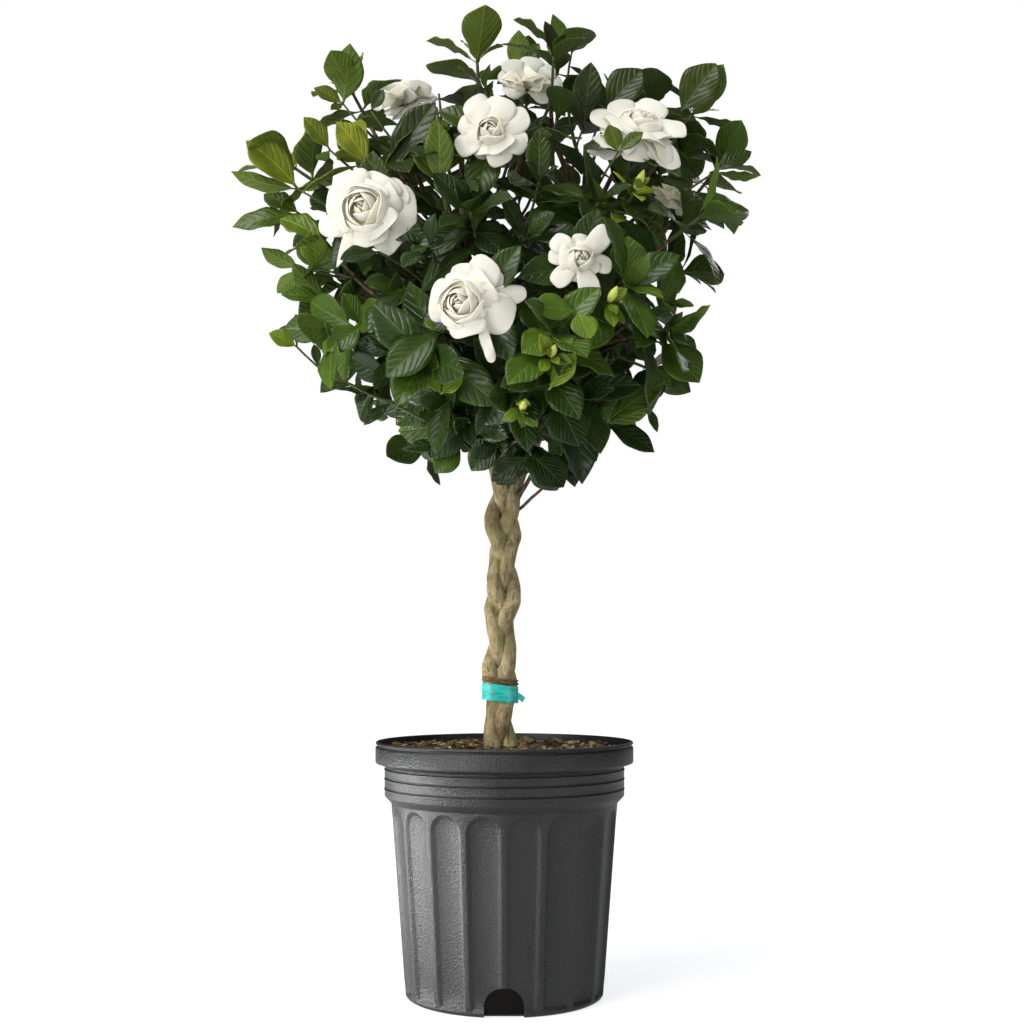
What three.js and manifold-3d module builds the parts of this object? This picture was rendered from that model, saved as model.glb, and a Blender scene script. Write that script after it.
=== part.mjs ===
// A potted gardenia trained as a small tree: a trunk of three plaited stems, a round crown of leafy
// shoots with double white flowers, a turquoise tie and a black nursery pot of potting mix.
// Millimetres, +Z up. The origin is the centre of the pot's flat underside, and the front faces -Y.
import * as THREE from "three";
import { mergeVertices } from "three/addons/utils/BufferGeometryUtils.js";
import Module from "manifold-3d";

const { PI, abs, cos, max, min, sin } = Math;
const DEG = PI / 180;
const GAP = 0.3; // clearance between pieces that touch
const CROSSING = 1e-6; // shared volume above which two pieces cross

// Pot
const POT_SIDES = 36; // two facets to each flute
const SOIL_SIDES = 18;
const RIM_RADIUS = 116.6;
const LIP_TOP = 229.8;
const BAND_RADIUS = 108.4;
const BODY_TOP_RADIUS = 102.3;
const BODY_FOOT_RADIUS = 90;
const BODY_TOP = 174;
const FOOT_CHAMFER = 3;
const FLOOR_THICKNESS = 2.5;
const WALL = 4.2; // thick enough to leave a wall behind the flutes
const BAND_WALL = 3;
const GROOVE_DEPTH = 1.4;
const GROOVE_HALF = 1.2;
const BAND_GROOVES = [188.5, 197.5];
const FLUTES = 18;
const FLUTE_DEPTH = 2.8; // at the middle of its flat floor
const FLUTE_FOOT = 4;
const FLUTE_HALF_TOP = 15.2;
const FLUTE_HALF_FOOT = 13.8;
const NOTCHES = 4;
const NOTCH_HALF = 17;
const NOTCH_HEIGHT = 26;
const NOTCH_REACH = 80; // how near the axis a drain notch comes
const CUT_REACH = 30; // how far out a cutter runs, past the pot's widest

// Soil
const SOIL_TOP = 220;
const SOIL_RELIEF = 1.6;

// Trunk: three stems plaited together, each a wave in X with a double wave in Y
const STEM_SIDES = 6;
const STEM_RADIUS = 6.3;
const STEM_FOOT = 196;
const FORK = 455; // where the plait ends and the stems part
const TRUNK_LEAN = 6; // how far the foot stands to the left of the fork
const PLAIT_PITCH = 138;
const PLAIT_STEPS = 20;
const PLAIT_WIDE = 8.8; // mean swing of a stem in X
const PLAIT_SWELL = 2.6; // how far the swing grows at a bulge
const PLAIT_DEEP = 4.6; // swing in Y
const BULGE_PITCH = 69;
const BULGE_AT = 429;

// Crown
const LEADER_TOP = 770;
const LEADER_STEPS = 6;
const LEADER_SPREAD = 66;
const LEADER_TIP_RADIUS = 2;
const BRANCH_RADIUS = 2.9;
const BRANCH_STEPS = 2;
const BRANCH_LOW = 478; // lowest start of a branch on its leader
const BRANCH_RISE = 0.7; // how far up its leader a branch starts, as a share of its seat's height
const TWIG_RADIUS = 1.7;
const TWIG_SIDES = 4;
const AXIS_SIDES = 6; // sides of the stem of a shoot and of the middle of a bloom
const SIDE_REACH = cos(PI / AXIS_SIDES); // distance of a side from the axis, as a share of the radius
const BAND = 1; // height of the band of faces that a whorl grows from
const CROWN_HEART = new THREE.Vector3(0, 0, 620);
const LEAFY_STEM = 34; // length of a leafy shoot's own stem
const LEAF_WIDTH = 0.5; // as a share of its length
const LEAF_THICK = 0.8;
const PETAL_THICK = 0.9;

// Tie
const TAPE_LOW = 265;
const TAPE_HIGH = 280;
const TAPE_THICK = 0.8;
const TAPE_SLANT = 0.12;
const TAPE_SIDES = 16;

// Whorl centre of each shoot that the photo shows at the front and along the outline: x, y, z,
// leaf length, tone from 0 for a dark leaf to 2 for a bright one, how far the shoot turns up, and the
// seed of its leaves, picked so that they point as in the photo.
const SEEN_SHOOTS = [
  [-139, 10, 821, 54, 1, 0.25, 447],
  [-189, -10, 746, 62, 2, 0, 463],
  [-155, -70, 665, 54, 2, 0.75, 148],
  [-166, -20, 602, 46, 1, 0.5, 246],
  [-140, -115, 578, 50, 2, 0, 446],
  [-61, -142, 552, 58, 1, 0, 352],
  [-122, -60, 735, 54, 2, 0, 176],
  [-25, 10, 850, 58, 1, 0.75, 55],
  [52, 5, 855, 56, 1, 0, 189],
  [132, 20, 812, 54, 1, 0.25, 197],
  [170, -5, 796, 56, 1, 0.25, 34],
  [194, 10, 752, 54, 1, 0.5, 460],
  [166, -95, 678, 58, 2, 0.25, 447],
  [98, -150, 605, 60, 2, 0.5, 202],
  [134, -85, 582, 60, 1, 0.25, 128],
  [40, -172, 563, 54, 2, 0.75, 306],
  [164, 20, 660, 54, 0, 0, 286],
  [58, -112, 525, 60, 0, 0.75, 181],
  [23, -66, 489, 56, 0, 0.25, 492],
  [-45, -52, 507, 52, 1, 0.5, 369],
  [-112, -40, 543, 52, 0, 0, 372],
  [98, -10, 535, 56, 0, 0.5, 464],
];

// Blooms that the photo shows, then two at the back: centre x, y, z, the way it faces, radius, and the
// share by which petals that stand up or hang down are shorter.
const BLOOMS = [
  [-109, -130, 671, -0.2, -0.97, -0.05, 38, 0.1],
  [-21, -185, 586, -0.25, -0.95, -0.1, 40, 0.3],
  [61, -170, 620, 0.05, -0.98, -0.1, 33, 0.12],
  [-9, -140, 737, 0, -0.97, 0.15, 31, 0.05],
  [20, -60, 803, 0.05, -0.5, 0.86, 28, 0],
  [111, -100, 747, 0.2, -0.6, 0.77, 42, 0],
  [-92, -20, 800, -0.2, -0.1, 0.97, 33, 0],
  [148, -50, 712, 0.5, -0.6, 0.62, 17, 0],
  [-70, 160, 705, -0.35, 0.9, 0.25, 36, 0.1],
  [95, 140, 640, 0.5, 0.84, 0.2, 34, 0.1],
];
const BLOOM_DEPTH = 15; // from the seat of a bloom to the middle of its face

// Shoots at the back, spread by the golden angle over the crown
const BACK_TRIES = 40;
const BACK_SHOOTS = 9;
const BACK_APART = 78;
const BACK_LOW = 505;
const BACK_HIGH = 845;
const BACK_LEAF = 55;
const GOLDEN_ANGLE = PI * (3 - Math.sqrt(5));

// Crown radius to the middle of the outer leaf whorls, as height and radius
const CROWN_OUTLINE = [
  [500, 80],
  [545, 120],
  [600, 155],
  [680, 170],
  [745, 190],
  [800, 165],
  [850, 60],
];

const wasm = await Module();
wasm.setup();
const { Manifold } = wasm;

// A closed geometry as a solid that can be joined and cut.
function solid(geometry) {
  const bare = geometry.clone();
  bare.deleteAttribute("normal");
  bare.deleteAttribute("uv");
  const merged = mergeVertices(bare, 1e-4);
  return new Manifold(
    new wasm.Mesh({
      numProp: 3,
      vertProperties: new Float32Array(merged.attributes.position.array),
      triVerts: new Uint32Array(merged.index.array),
    }),
  );
}

function join(solids) {
  return solids.reduce((whole, piece) => whole.add(piece));
}

// The largest body of a solid: what a cut leaves loose is dropped.
function largest(piece) {
  return piece.decompose().sort((a, b) => b.volume() - a.volume())[0];
}

function geometryOf(piece) {
  const { vertProperties, triVerts } = piece.getMesh();
  return new THREE.BufferGeometry()
    .setAttribute("position", new THREE.BufferAttribute(vertProperties, 3))
    .setIndex(new THREE.BufferAttribute(triVerts, 1));
}

// Seeded random numbers from 0 to 1.
function randomFrom(seed) {
  let state = seed | 0;
  return () => {
    state = (state + 0x6d2b79f5) | 0;
    let mixed = Math.imul(state ^ (state >>> 15), 1 | state);
    mixed = (mixed + Math.imul(mixed ^ (mixed >>> 7), 61 | mixed)) ^ mixed;
    return ((mixed ^ (mixed >>> 14)) >>> 0) / 4294967296;
  };
}

// Two directions square to a unit direction, the first one level where it can be.
function sidesOf(direction) {
  const flat = new THREE.Vector3(0, 0, 1).cross(direction);
  if (flat.length() < 0.05) flat.set(1, 0, 0).cross(direction);
  const first = flat.normalize();
  return [first, direction.clone().cross(first)];
}

// A closed limb through points, with its own radius at each, square to its tangents at each end.
function limb(points, radii, sides, tangents) {
  const whole = points.at(-1).clone().sub(points[0]).normalize();
  const [reference] = sidesOf(whole);
  const vertices = [];
  points.forEach((point, i) => {
    const before = points[max(i - 1, 0)];
    const after = points[min(i + 1, points.length - 1)];
    const tangent = tangents ? tangents[i] : after.clone().sub(before).normalize();
    const u = reference.clone().addScaledVector(tangent, -reference.dot(tangent)).normalize();
    const v = tangent.clone().cross(u);
    for (let j = 0; j < sides; j++) {
      const turn = (2 * PI * j) / sides;
      const corner = point.clone().addScaledVector(u, radii[i] * cos(turn));
      vertices.push(corner.addScaledVector(v, radii[i] * sin(turn)));
    }
  });
  const faces = [];
  for (let i = 0; i + 1 < points.length; i++)
    for (let j = 0; j < sides; j++) {
      const here = i * sides + j;
      const beside = i * sides + ((j + 1) % sides);
      faces.push(here, beside, beside + sides, here, beside + sides, here + sides);
    }
  const end = (points.length - 1) * sides;
  for (let j = 1; j + 1 < sides; j++) {
    faces.push(0, j + 1, j);
    faces.push(end, end + j, end + j + 1);
  }
  return new THREE.BufferGeometry().setFromPoints(vertices).setIndex(faces);
}

// Leaf and petal outlines: pairs of the way along and the half width, from past the root to the tip.
const LEAF_EDGE = [
  [0.34, 0.84],
  [0.7, 0.92],
];
const PETAL_EDGE = [
  [0.45, 0.86],
  [0.84, 0.84],
];
const ROOT_HALF = 0.9;

// Points of a thin blade that rises along its face, droops to its tip and is folded: the rim from
// the root's right to its left, then the middle, for the upper face and for the lower one.
function bladePoints({ root, along, face }, shape, spare = 0) {
  const across = along.clone().cross(face);
  const length = shape.length + spare;
  const half = shape.width / 2 + spare;
  const at = (u, side) => {
    const lift = length * (shape.rise * u - shape.droop * u * u) + shape.fold * abs(side);
    const point = root.clone().addScaledVector(along, length * u);
    return point.addScaledVector(across, side).addScaledVector(face, lift);
  };
  const edge = [[0, ROOT_HALF / half], ...shape.edge];
  const right = edge.map(([u, w]) => at(u, half * w));
  const left = edge.map(([u, w]) => at(u, -half * w)).reverse();
  const upper = [...right, at(1, 0), ...left, at(0.5, 0)];
  upper.forEach((point) => point.addScaledVector(face, shape.thick / 2 + spare));
  const lower = upper.map((point) => point.clone().addScaledVector(face, -shape.thick - 2 * spare));
  return { upper, lower };
}

// Faces of a blade whose upper points start at one index and lower ones at another.
function bladeFaces(upper, lower, closed) {
  const count = upper.length - 1;
  const faces = [];
  for (let i = 0; i < count; i++) {
    const next = (i + 1) % count;
    faces.push(upper[count], upper[i], upper[next], lower[count], lower[next], lower[i]);
    if (closed || next) faces.push(upper[i], lower[i], lower[next], upper[i], lower[next], upper[next]);
  }
  return faces;
}

// A blade as a closed body of its own.
function blade(place, shape, spare) {
  const { upper, lower } = bladePoints(place, shape, spare);
  const below = upper.map((_, i) => i + upper.length);
  const faces = bladeFaces([...upper.keys()], below, true);
  return new THREE.BufferGeometry().setFromPoints([...upper, ...lower]).setIndex(faces);
}

// Six points round a centre, square to a direction.
function ringRound(centre, direction, radius, turn) {
  const [first, second] = sidesOf(direction);
  return Array.from({ length: AXIS_SIDES }, (_, j) => {
    const angle = turn + (2 * PI * j) / AXIS_SIDES;
    const corner = centre.clone().addScaledVector(first, radius * cos(angle));
    return corner.addScaledVector(second, radius * sin(angle));
  });
}

// A closed body from rings, with blades grown out of some of its side faces. Each blade takes the
// face over one ring at one side, so that its root's corners are the body's own.
function bladedAxis(rings, blades) {
  const vertices = rings.flat();
  const faces = [];
  const corner = (ring, side) => ring * AXIS_SIDES + (side % AXIS_SIDES);
  const numbered = (points, right, left) => {
    const last = points.length - 2;
    return points.map((point, k) => {
      if (k === 0) return right;
      return k === last ? left : vertices.push(point) - 1;
    });
  };
  for (let i = 0; i + 1 < rings.length; i++)
    for (let j = 0; j < AXIS_SIDES; j++) {
      const [a, b, c, d] = [corner(i, j), corner(i, j + 1), corner(i + 1, j + 1), corner(i + 1, j)];
      const grown = blades.find((one) => one.ring === i && one.side === j);
      if (!grown) {
        faces.push(a, b, c, a, c, d);
        continue;
      }
      const upper = numbered(grown.points.upper, d, c);
      const lower = numbered(grown.points.lower, a, b);
      faces.push(...bladeFaces(upper, lower, false));
    }
  const end = corner(rings.length - 1, 0);
  for (let j = 1; j + 1 < AXIS_SIDES; j++) faces.push(0, j + 1, j, end, end + j, end + j + 1);
  return solid(new THREE.BufferGeometry().setFromPoints(vertices).setIndex(faces));
}

// Every limb, leaf and petal set so far, each with its box and the node that holds it.
const settled = [];

function boxOf(geometry) {
  return new THREE.Box3().setFromBufferAttribute(geometry.getAttribute("position"));
}

function settle(geometry, owner) {
  const piece = solid(geometry);
  settled.push({ piece, box: boxOf(geometry), owner });
  return piece;
}

// Whether a geometry crosses something that is settled already, of the nodes that count.
function crosses(geometry, counts) {
  const box = boxOf(geometry);
  const piece = solid(geometry);
  const near = settled.filter((other) => counts(other) && box.intersectsBox(other.box));
  return near.some((other) => piece.intersect(other.piece).volume() > CROSSING);
}

function turnedSolid(profile, sides) {
  const points = profile.map(([r, z]) => new THREE.Vector2(r, z));
  return solid(new THREE.LatheGeometry(points, sides, PI / 2).rotateX(PI / 2));
}

// An outline extruded outwards along a heading, from a distance at its foot, leaning out by a slope.
function outwardSolid(shape, heading, from, depth, slope) {
  const radial = new THREE.Vector3(cos(heading), sin(heading), 0);
  const up = new THREE.Vector3(0, 0, 1);
  const lean = up.clone().addScaledVector(radial, slope);
  const basis = new THREE.Matrix4().makeBasis(up.clone().cross(radial), lean, radial);
  basis.setPosition(radial.clone().multiplyScalar(from));
  const geometry = new THREE.ExtrudeGeometry(shape, { depth, bevelEnabled: false, curveSegments: 3 });
  return solid(geometry.applyMatrix4(basis));
}

const BODY_SLOPE = (BODY_TOP_RADIUS - BODY_FOOT_RADIUS) / (BODY_TOP - FOOT_CHAMFER);

function bodyRadius(z) {
  return BODY_FOOT_RADIUS + BODY_SLOPE * (z - FOOT_CHAMFER);
}

// Inner wall of the pot from the floor up, as radius and height.
const potInside = [
  [bodyRadius(0) - WALL, FLOOR_THICKNESS],
  [BODY_TOP_RADIUS - WALL, BODY_TOP + 3],
  [BAND_RADIUS - BAND_WALL - 1, 209],
  [RIM_RADIUS - BAND_WALL, 213],
  [RIM_RADIUS - BAND_WALL, LIP_TOP - 0.8],
];

function grooveAt(z) {
  return [
    [BAND_RADIUS, z - GROOVE_HALF],
    [BAND_RADIUS - GROOVE_DEPTH, z],
    [BAND_RADIUS, z + GROOVE_HALF],
  ];
}

function fluteOutline() {
  const arcCentre = BODY_TOP - 1.5 - FLUTE_HALF_TOP;
  const shape = new THREE.Shape();
  shape.moveTo(-FLUTE_HALF_FOOT, FLUTE_FOOT);
  shape.lineTo(FLUTE_HALF_FOOT, FLUTE_FOOT);
  shape.lineTo(FLUTE_HALF_TOP, arcCentre);
  shape.absarc(0, arcCentre, FLUTE_HALF_TOP, 0, PI, false);
  return shape;
}

function notchOutline() {
  const arcCentre = NOTCH_HEIGHT - NOTCH_HALF;
  const shape = new THREE.Shape();
  shape.moveTo(-NOTCH_HALF, -1);
  shape.lineTo(NOTCH_HALF, -1);
  shape.lineTo(NOTCH_HALF, arcCentre);
  shape.absarc(0, arcCentre, NOTCH_HALF, 0, PI, false);
  return shape;
}

// Moulded pot: bands, flutes between narrow ribs, and drain notches at its foot.
function pot() {
  const outside = [
    [0, 0],
    [BODY_FOOT_RADIUS - FOOT_CHAMFER, 0],
    [BODY_FOOT_RADIUS, FOOT_CHAMFER],
    [BODY_TOP_RADIUS, BODY_TOP],
    [BAND_RADIUS, BODY_TOP + 7],
    ...BAND_GROOVES.flatMap(grooveAt),
    [BAND_RADIUS, 208],
    [RIM_RADIUS, 211],
    [RIM_RADIUS, 224.5],
    [RIM_RADIUS - 2.2, 226.4],
    [RIM_RADIUS - 0.2, 227.8],
    [RIM_RADIUS - 0.8, LIP_TOP],
    [RIM_RADIUS - 2.4, LIP_TOP],
  ];
  const shell = turnedSolid([...outside, ...potInside.toReversed(), [0, FLOOR_THICKNESS]], POT_SIDES);
  const flutes = [];
  for (let i = 0; i < FLUTES; i++) {
    const heading = -PI / 2 + (2 * PI * (i + 0.5)) / FLUTES;
    const floor = bodyRadius(0) - FLUTE_DEPTH;
    flutes.push(outwardSolid(fluteOutline(), heading, floor, CUT_REACH, BODY_SLOPE));
  }
  const notches = [];
  for (let i = 0; i < NOTCHES; i++) {
    const heading = -PI / 2 + (2 * PI * i) / NOTCHES;
    notches.push(outwardSolid(notchOutline(), heading, NOTCH_REACH, CUT_REACH, 0));
  }
  return shell.subtract(join(flutes)).subtract(join(notches));
}

// Potting mix that fills the pot, with a lightly lumpy top.
function soil(stems) {
  const side = potInside.filter(([, z]) => z < SOIL_TOP).map(([r, z]) => [r - GAP, z + GAP]);
  const edge = [RIM_RADIUS - BAND_WALL - GAP, SOIL_TOP - 2];
  const top = [86, 58, 32].map((r) => [r, SOIL_TOP]);
  const profile = [[0, FLOOR_THICKNESS + GAP], ...side, edge, ...top, [0, SOIL_TOP]];
  const points = profile.map(([r, z]) => new THREE.Vector2(r, z));
  const geometry = new THREE.LatheGeometry(points, SOIL_SIDES, PI / 2).rotateX(PI / 2);
  const position = geometry.getAttribute("position");
  for (let i = 0; i < position.count; i++) {
    const x = position.getX(i);
    const y = position.getY(i);
    const lump = sin(x / 13 + 1) * cos(y / 11) + 0.7 * sin((x + y) / 6.5);
    if (position.getZ(i) > SOIL_TOP - 1) position.setZ(i, SOIL_TOP + SOIL_RELIEF * lump);
  }
  return stems.reduce((whole, stem) => whole.subtract(stem), solid(geometry));
}

// Centre of a plaited stem at a height, with its phase in the plait.
function plaitPoint(phase, z) {
  const turn = phase + (2 * PI * (FORK - z)) / PLAIT_PITCH;
  const wide = PLAIT_WIDE + PLAIT_SWELL * cos((2 * PI * (z - BULGE_AT)) / BULGE_PITCH);
  const lean = (TRUNK_LEAN * (FORK - z)) / (FORK - STEM_FOOT);
  return new THREE.Vector3(wide * sin(turn) - lean, PLAIT_DEEP * sin(2 * turn), z);
}

// Centre of a stem's leader in the crown, which leans out along its heading as it climbs.
function leaderPoint(stem, z) {
  const foot = plaitPoint(stem.phase, FORK);
  const climb = min(1, (z - FORK) / 230);
  const out = LEADER_SPREAD * sin((PI / 2) * climb);
  return new THREE.Vector3(foot.x + out * cos(stem.heading), foot.y + out * sin(stem.heading), z);
}

function leaderRadius(z) {
  return STEM_RADIUS + ((LEADER_TIP_RADIUS - STEM_RADIUS) * (z - FORK)) / (LEADER_TOP - FORK);
}

const STEMS = [
  { name: "stem_right", heading: 0, phase: PI / 2 },
  { name: "stem_back", heading: 120 * DEG, phase: 210 * DEG },
  { name: "stem_front", heading: 240 * DEG, phase: 330 * DEG },
];

function trunkLimb(stem, spare = 0) {
  const points = [];
  const radii = [];
  for (let i = 0; i <= PLAIT_STEPS; i++) {
    const z = STEM_FOOT + ((FORK - STEM_FOOT) * i) / PLAIT_STEPS - (i ? 0 : spare);
    points.push(plaitPoint(stem.phase, z));
    radii.push(STEM_RADIUS + spare);
  }
  for (let i = 1; i <= LEADER_STEPS; i++) {
    const z = FORK + ((LEADER_TOP - FORK) * i) / LEADER_STEPS;
    points.push(leaderPoint(stem, z));
    radii.push(leaderRadius(z) + spare);
  }
  return limb(points, radii, STEM_SIDES);
}

// The stem whose third of the crown holds a point.
function stemFor(point) {
  const third = ((Math.atan2(point.y, point.x) / DEG + 420) % 360) / 120;
  return STEMS[Math.floor(third)];
}

// Branch from a stem's leader to the seat of a shoot, which it meets in the shoot's direction.
function branchLimb(stem, seat, direction, shift) {
  const wanted = BRANCH_LOW + BRANCH_RISE * (seat.z - BRANCH_LOW) + shift;
  const z = min(max(wanted, BRANCH_LOW), LEADER_TOP - 8);
  const middle = leaderPoint(stem, z);
  const way = seat.clone().sub(middle).normalize();
  const start = middle.addScaledVector(way, 0.5 * leaderRadius(z));
  const bend = seat.clone().addScaledVector(direction, -0.45 * seat.distanceTo(start));
  const path = new THREE.QuadraticBezierCurve3(start, bend, seat);
  const points = path.getPoints(BRANCH_STEPS);
  const tangents = points.map((_, i) => path.getTangent(i / BRANCH_STEPS));
  const radii = points.map((_, i) => BRANCH_RADIUS + ((TWIG_RADIUS - BRANCH_RADIUS) * i) / BRANCH_STEPS);
  return limb(points, radii, TWIG_SIDES, tangents);
}

const BRANCH_SHIFTS = [0, -15, 15, -30, 30, -45, 45, -70, 70];

// The first branch to a shoot that keeps clear of the other nodes: from the stem of its third of the
// crown or else from another, at one start height or another.
function clearBranch(shoot, index) {
  const seat = shoot.tip.clone().addScaledVector(shoot.direction, -shoot.stemLength - GAP);
  const home = stemFor(seat);
  for (const stem of [home, ...STEMS.filter((other) => other !== home)])
    for (const shift of BRANCH_SHIFTS) {
      const branch = branchLimb(stem, seat, shoot.direction, shift);
      const mine = [stem.name, shootName(index)];
      if (!crosses(branch, (other) => !mine.includes(other.owner))) return { stem, branch };
    }
  throw new Error("no clear branch to " + shootName(index));
}

function outwards(centre) {
  return centre.clone().sub(CROWN_HEART).normalize();
}

function crownRadius(z) {
  const i = CROWN_OUTLINE.findIndex(([height]) => z <= height);
  const [lowZ, low] = CROWN_OUTLINE[max(i - 1, 0)];
  const [highZ, high] = CROWN_OUTLINE[max(i, 1)];
  return low + ((high - low) * (z - lowZ)) / (highZ - lowZ);
}

// Whorls of a shoot: the share of its stem where one sits, then each leaf's side of the stem, angle
// to it and size.
const LEAFY_WHORLS = [
  { height: 0.45, leaves: [[0, 86, 1.05], [2, 86, 1.05], [4, 86, 1.05]] },
  { height: 0.98, leaves: [[1, 56, 1], [3, 62, 1], [5, 30, 0.9]] },
];
const BLOOM_WHORLS = [{ height: 0.85, leaves: [[0, 72, 1], [2, 72, 1], [4, 72, 1]] }];

const FIRST_SEED = 1000; // of the shoots without a seed of their own

function leafyShoot(tip, leafLength, tone, lift, seed) {
  const direction = outwards(tip);
  direction.z += lift;
  direction.normalize();
  return { tip, direction, leafLength, tone, seed, stemLength: LEAFY_STEM, whorls: LEAFY_WHORLS };
}

// Every shoot: those under a bloom, those seen, and those that fill the back.
function allShoots() {
  const shoots = BLOOMS.map(([x, y, z, dx, dy, dz], index) => {
    const direction = new THREE.Vector3(dx, dy, dz).normalize();
    const tip = new THREE.Vector3(x, y, z).addScaledVector(direction, -BLOOM_DEPTH - GAP);
    const seed = FIRST_SEED + index;
    return { tip, direction, leafLength: 50, tone: 0, seed, stemLength: 30, whorls: BLOOM_WHORLS };
  });
  for (const [x, y, z, leafLength, tone, lift, seed] of SEEN_SHOOTS)
    shoots.push(leafyShoot(new THREE.Vector3(x, y, z), leafLength, tone, lift, seed));
  let made = 0;
  for (let i = 0; i < BACK_TRIES && made < BACK_SHOOTS; i++) {
    const z = BACK_LOW + ((BACK_HIGH - BACK_LOW) * (i + 0.5)) / BACK_TRIES;
    const heading = i * GOLDEN_ANGLE;
    const radius = crownRadius(z);
    const tip = new THREE.Vector3(radius * cos(heading), radius * sin(heading), z);
    if (tip.y < 25 || shoots.some((shoot) => shoot.tip.distanceTo(tip) < BACK_APART)) continue;
    shoots.push(leafyShoot(tip, BACK_LEAF, 0, 0, FIRST_SEED + shoots.length));
    made++;
  }
  return shoots;
}

const LEAF_LEAN = 0.12; // how far a leaf's weight turns it down
const LEAF_LIGHT = 0.35; // how far a leaf's face turns up to the light
const LEAF_TRIES = [
  [0, 0, 1],
  [16, 0, 1],
  [-16, 0, 1],
  [0, -18, 1],
  [0, 14, 1],
  [24, -16, 0.9],
  [-24, 14, 0.9],
  [0, -30, 0.8],
];

// Directions of a blade that leans from an axis towards a heading round it.
function bladeWay(direction, heading, lean) {
  const [first, second] = sidesOf(direction);
  const radial = first.multiplyScalar(cos(heading)).addScaledVector(second, sin(heading));
  const along = direction.clone().multiplyScalar(cos(lean)).addScaledVector(radial, sin(lean));
  const face = direction.clone().multiplyScalar(sin(lean)).addScaledVector(radial, -cos(lean));
  return { radial, along, face };
}

// Where a leaf stands: its weight turns it down, and its face turns up to the light.
function leafPlace(shoot, base, heading, lean) {
  const { along, face } = bladeWay(shoot.direction, heading, lean);
  along.z -= LEAF_LEAN;
  along.normalize();
  face.z += LEAF_LIGHT;
  face.addScaledVector(along, -face.dot(along)).normalize();
  return { root: base, along, face };
}

// Stem and leaves of a shoot as its rule asks for them, before any is bent clear of its neighbours.
function plannedShoot(shoot) {
  const random = randomFrom(shoot.seed);
  const at = (distance) => shoot.tip.clone().addScaledVector(shoot.direction, distance - shoot.stemLength);
  const rings = [];
  const leaves = [];
  let turn = random() * 2 * PI;
  rings.push(ringRound(at(0), shoot.direction, TWIG_RADIUS, turn));
  for (const { height, leaves: row } of shoot.whorls) {
    turn += (random() - 0.5) * 60 * DEG;
    const low = height * shoot.stemLength - BAND;
    for (const [side, angle, size] of row) {
      const heading = turn + ((side + 0.5) * 2 * PI) / AXIS_SIDES;
      const { radial } = bladeWay(shoot.direction, heading, PI / 2);
      leaves.push({
        ring: rings.length,
        side,
        base: at(low + BAND / 2).addScaledVector(radial, TWIG_RADIUS * SIDE_REACH),
        heading: heading + (random() - 0.5) * 0.4,
        lean: (angle + (random() - 0.5) * 20) * DEG,
        length: shoot.leafLength * size * (0.9 + 0.2 * random()),
        bend: random(),
      });
    }
    rings.push(ringRound(at(low), shoot.direction, TWIG_RADIUS, turn));
    rings.push(ringRound(at(low + BAND), shoot.direction, TWIG_RADIUS, turn));
  }
  rings.push(ringRound(at(shoot.stemLength), shoot.direction, TWIG_RADIUS - 0.3, turn));
  return { rings, leaves };
}

function leafShape(leaf, size) {
  const length = leaf.length * size;
  const width = LEAF_WIDTH * length;
  const droop = 0.14 + 0.22 * leaf.bend;
  return { edge: LEAF_EDGE, length, width, rise: 0.16, droop, fold: 0.22, thick: LEAF_THICK };
}

const LEAF_CLEAR = 0.15; // share of a leaf by its root that may meet the leaves beside it

// A shoot's leaves, each turned, tilted or shortened until it crosses nothing, or left out.
function growShoot(shoot, index) {
  const owner = shootName(index);
  const { rings, leaves } = plannedShoot(shoot);
  const grown = [];
  for (const leaf of leaves)
    for (const [turn, lean, size] of LEAF_TRIES) {
      const place = leafPlace(shoot, leaf.base, leaf.heading + turn * DEG, leaf.lean + lean * DEG);
      const shape = leafShape(leaf, size);
      const inner = LEAF_CLEAR * shape.length;
      const outer = { ...place, root: leaf.base.clone().addScaledVector(place.along, inner) };
      const outerShape = { ...shape, length: shape.length - inner };
      if (crosses(blade(place, shape, GAP), (other) => other.owner !== owner)) continue;
      if (crosses(blade(outer, outerShape, GAP), (other) => other.owner === owner)) continue;
      settle(blade(place, shape), owner);
      grown.push({ ring: leaf.ring, side: leaf.side, points: bladePoints(place, shape) });
      break;
    }
  return bladedAxis(rings, grown);
}

function shootStem(shoot) {
  const seat = shoot.tip.clone().addScaledVector(shoot.direction, -shoot.stemLength);
  return limb([seat, shoot.tip], [TWIG_RADIUS, TWIG_RADIUS - 0.3], AXIS_SIDES);
}

// Petal whorls of a bloom: the band they grow from, their sides of it, their angle to the axis, and
// their length, width, rise, droop and fold as shares of the bloom's radius or of their own length.
const PETAL_WHORLS = [
  { ring: 1, sides: [0, 2, 4], lean: 88, length: 0.92, width: 0.86, rise: 0.14, droop: 0.22, fold: -0.12 },
  { ring: 2, sides: [1, 3, 5], lean: 72, length: 0.9, width: 0.86, rise: 0.1, droop: 0.2, fold: -0.08 },
  { ring: 3, sides: [0, 2, 4], lean: 46, length: 0.6, width: 0.62, rise: 0, droop: -0.22, fold: 0.3 },
];

// Middle of a bloom from its seat up: depth and radius, with the rolled heart growing with the bloom.
function bloomAxis(scale) {
  return [
    [0, 2.2],
    [BLOOM_DEPTH - 4.5, 3.6],
    [BLOOM_DEPTH - 3.2, 4],
    [BLOOM_DEPTH - 1.9, 4.4],
    [BLOOM_DEPTH - 0.6, 4.8],
    [BLOOM_DEPTH + 6 * scale, 5.5 * scale],
    [BLOOM_DEPTH + 14 * scale, 3.5 * scale],
  ];
}

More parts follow.
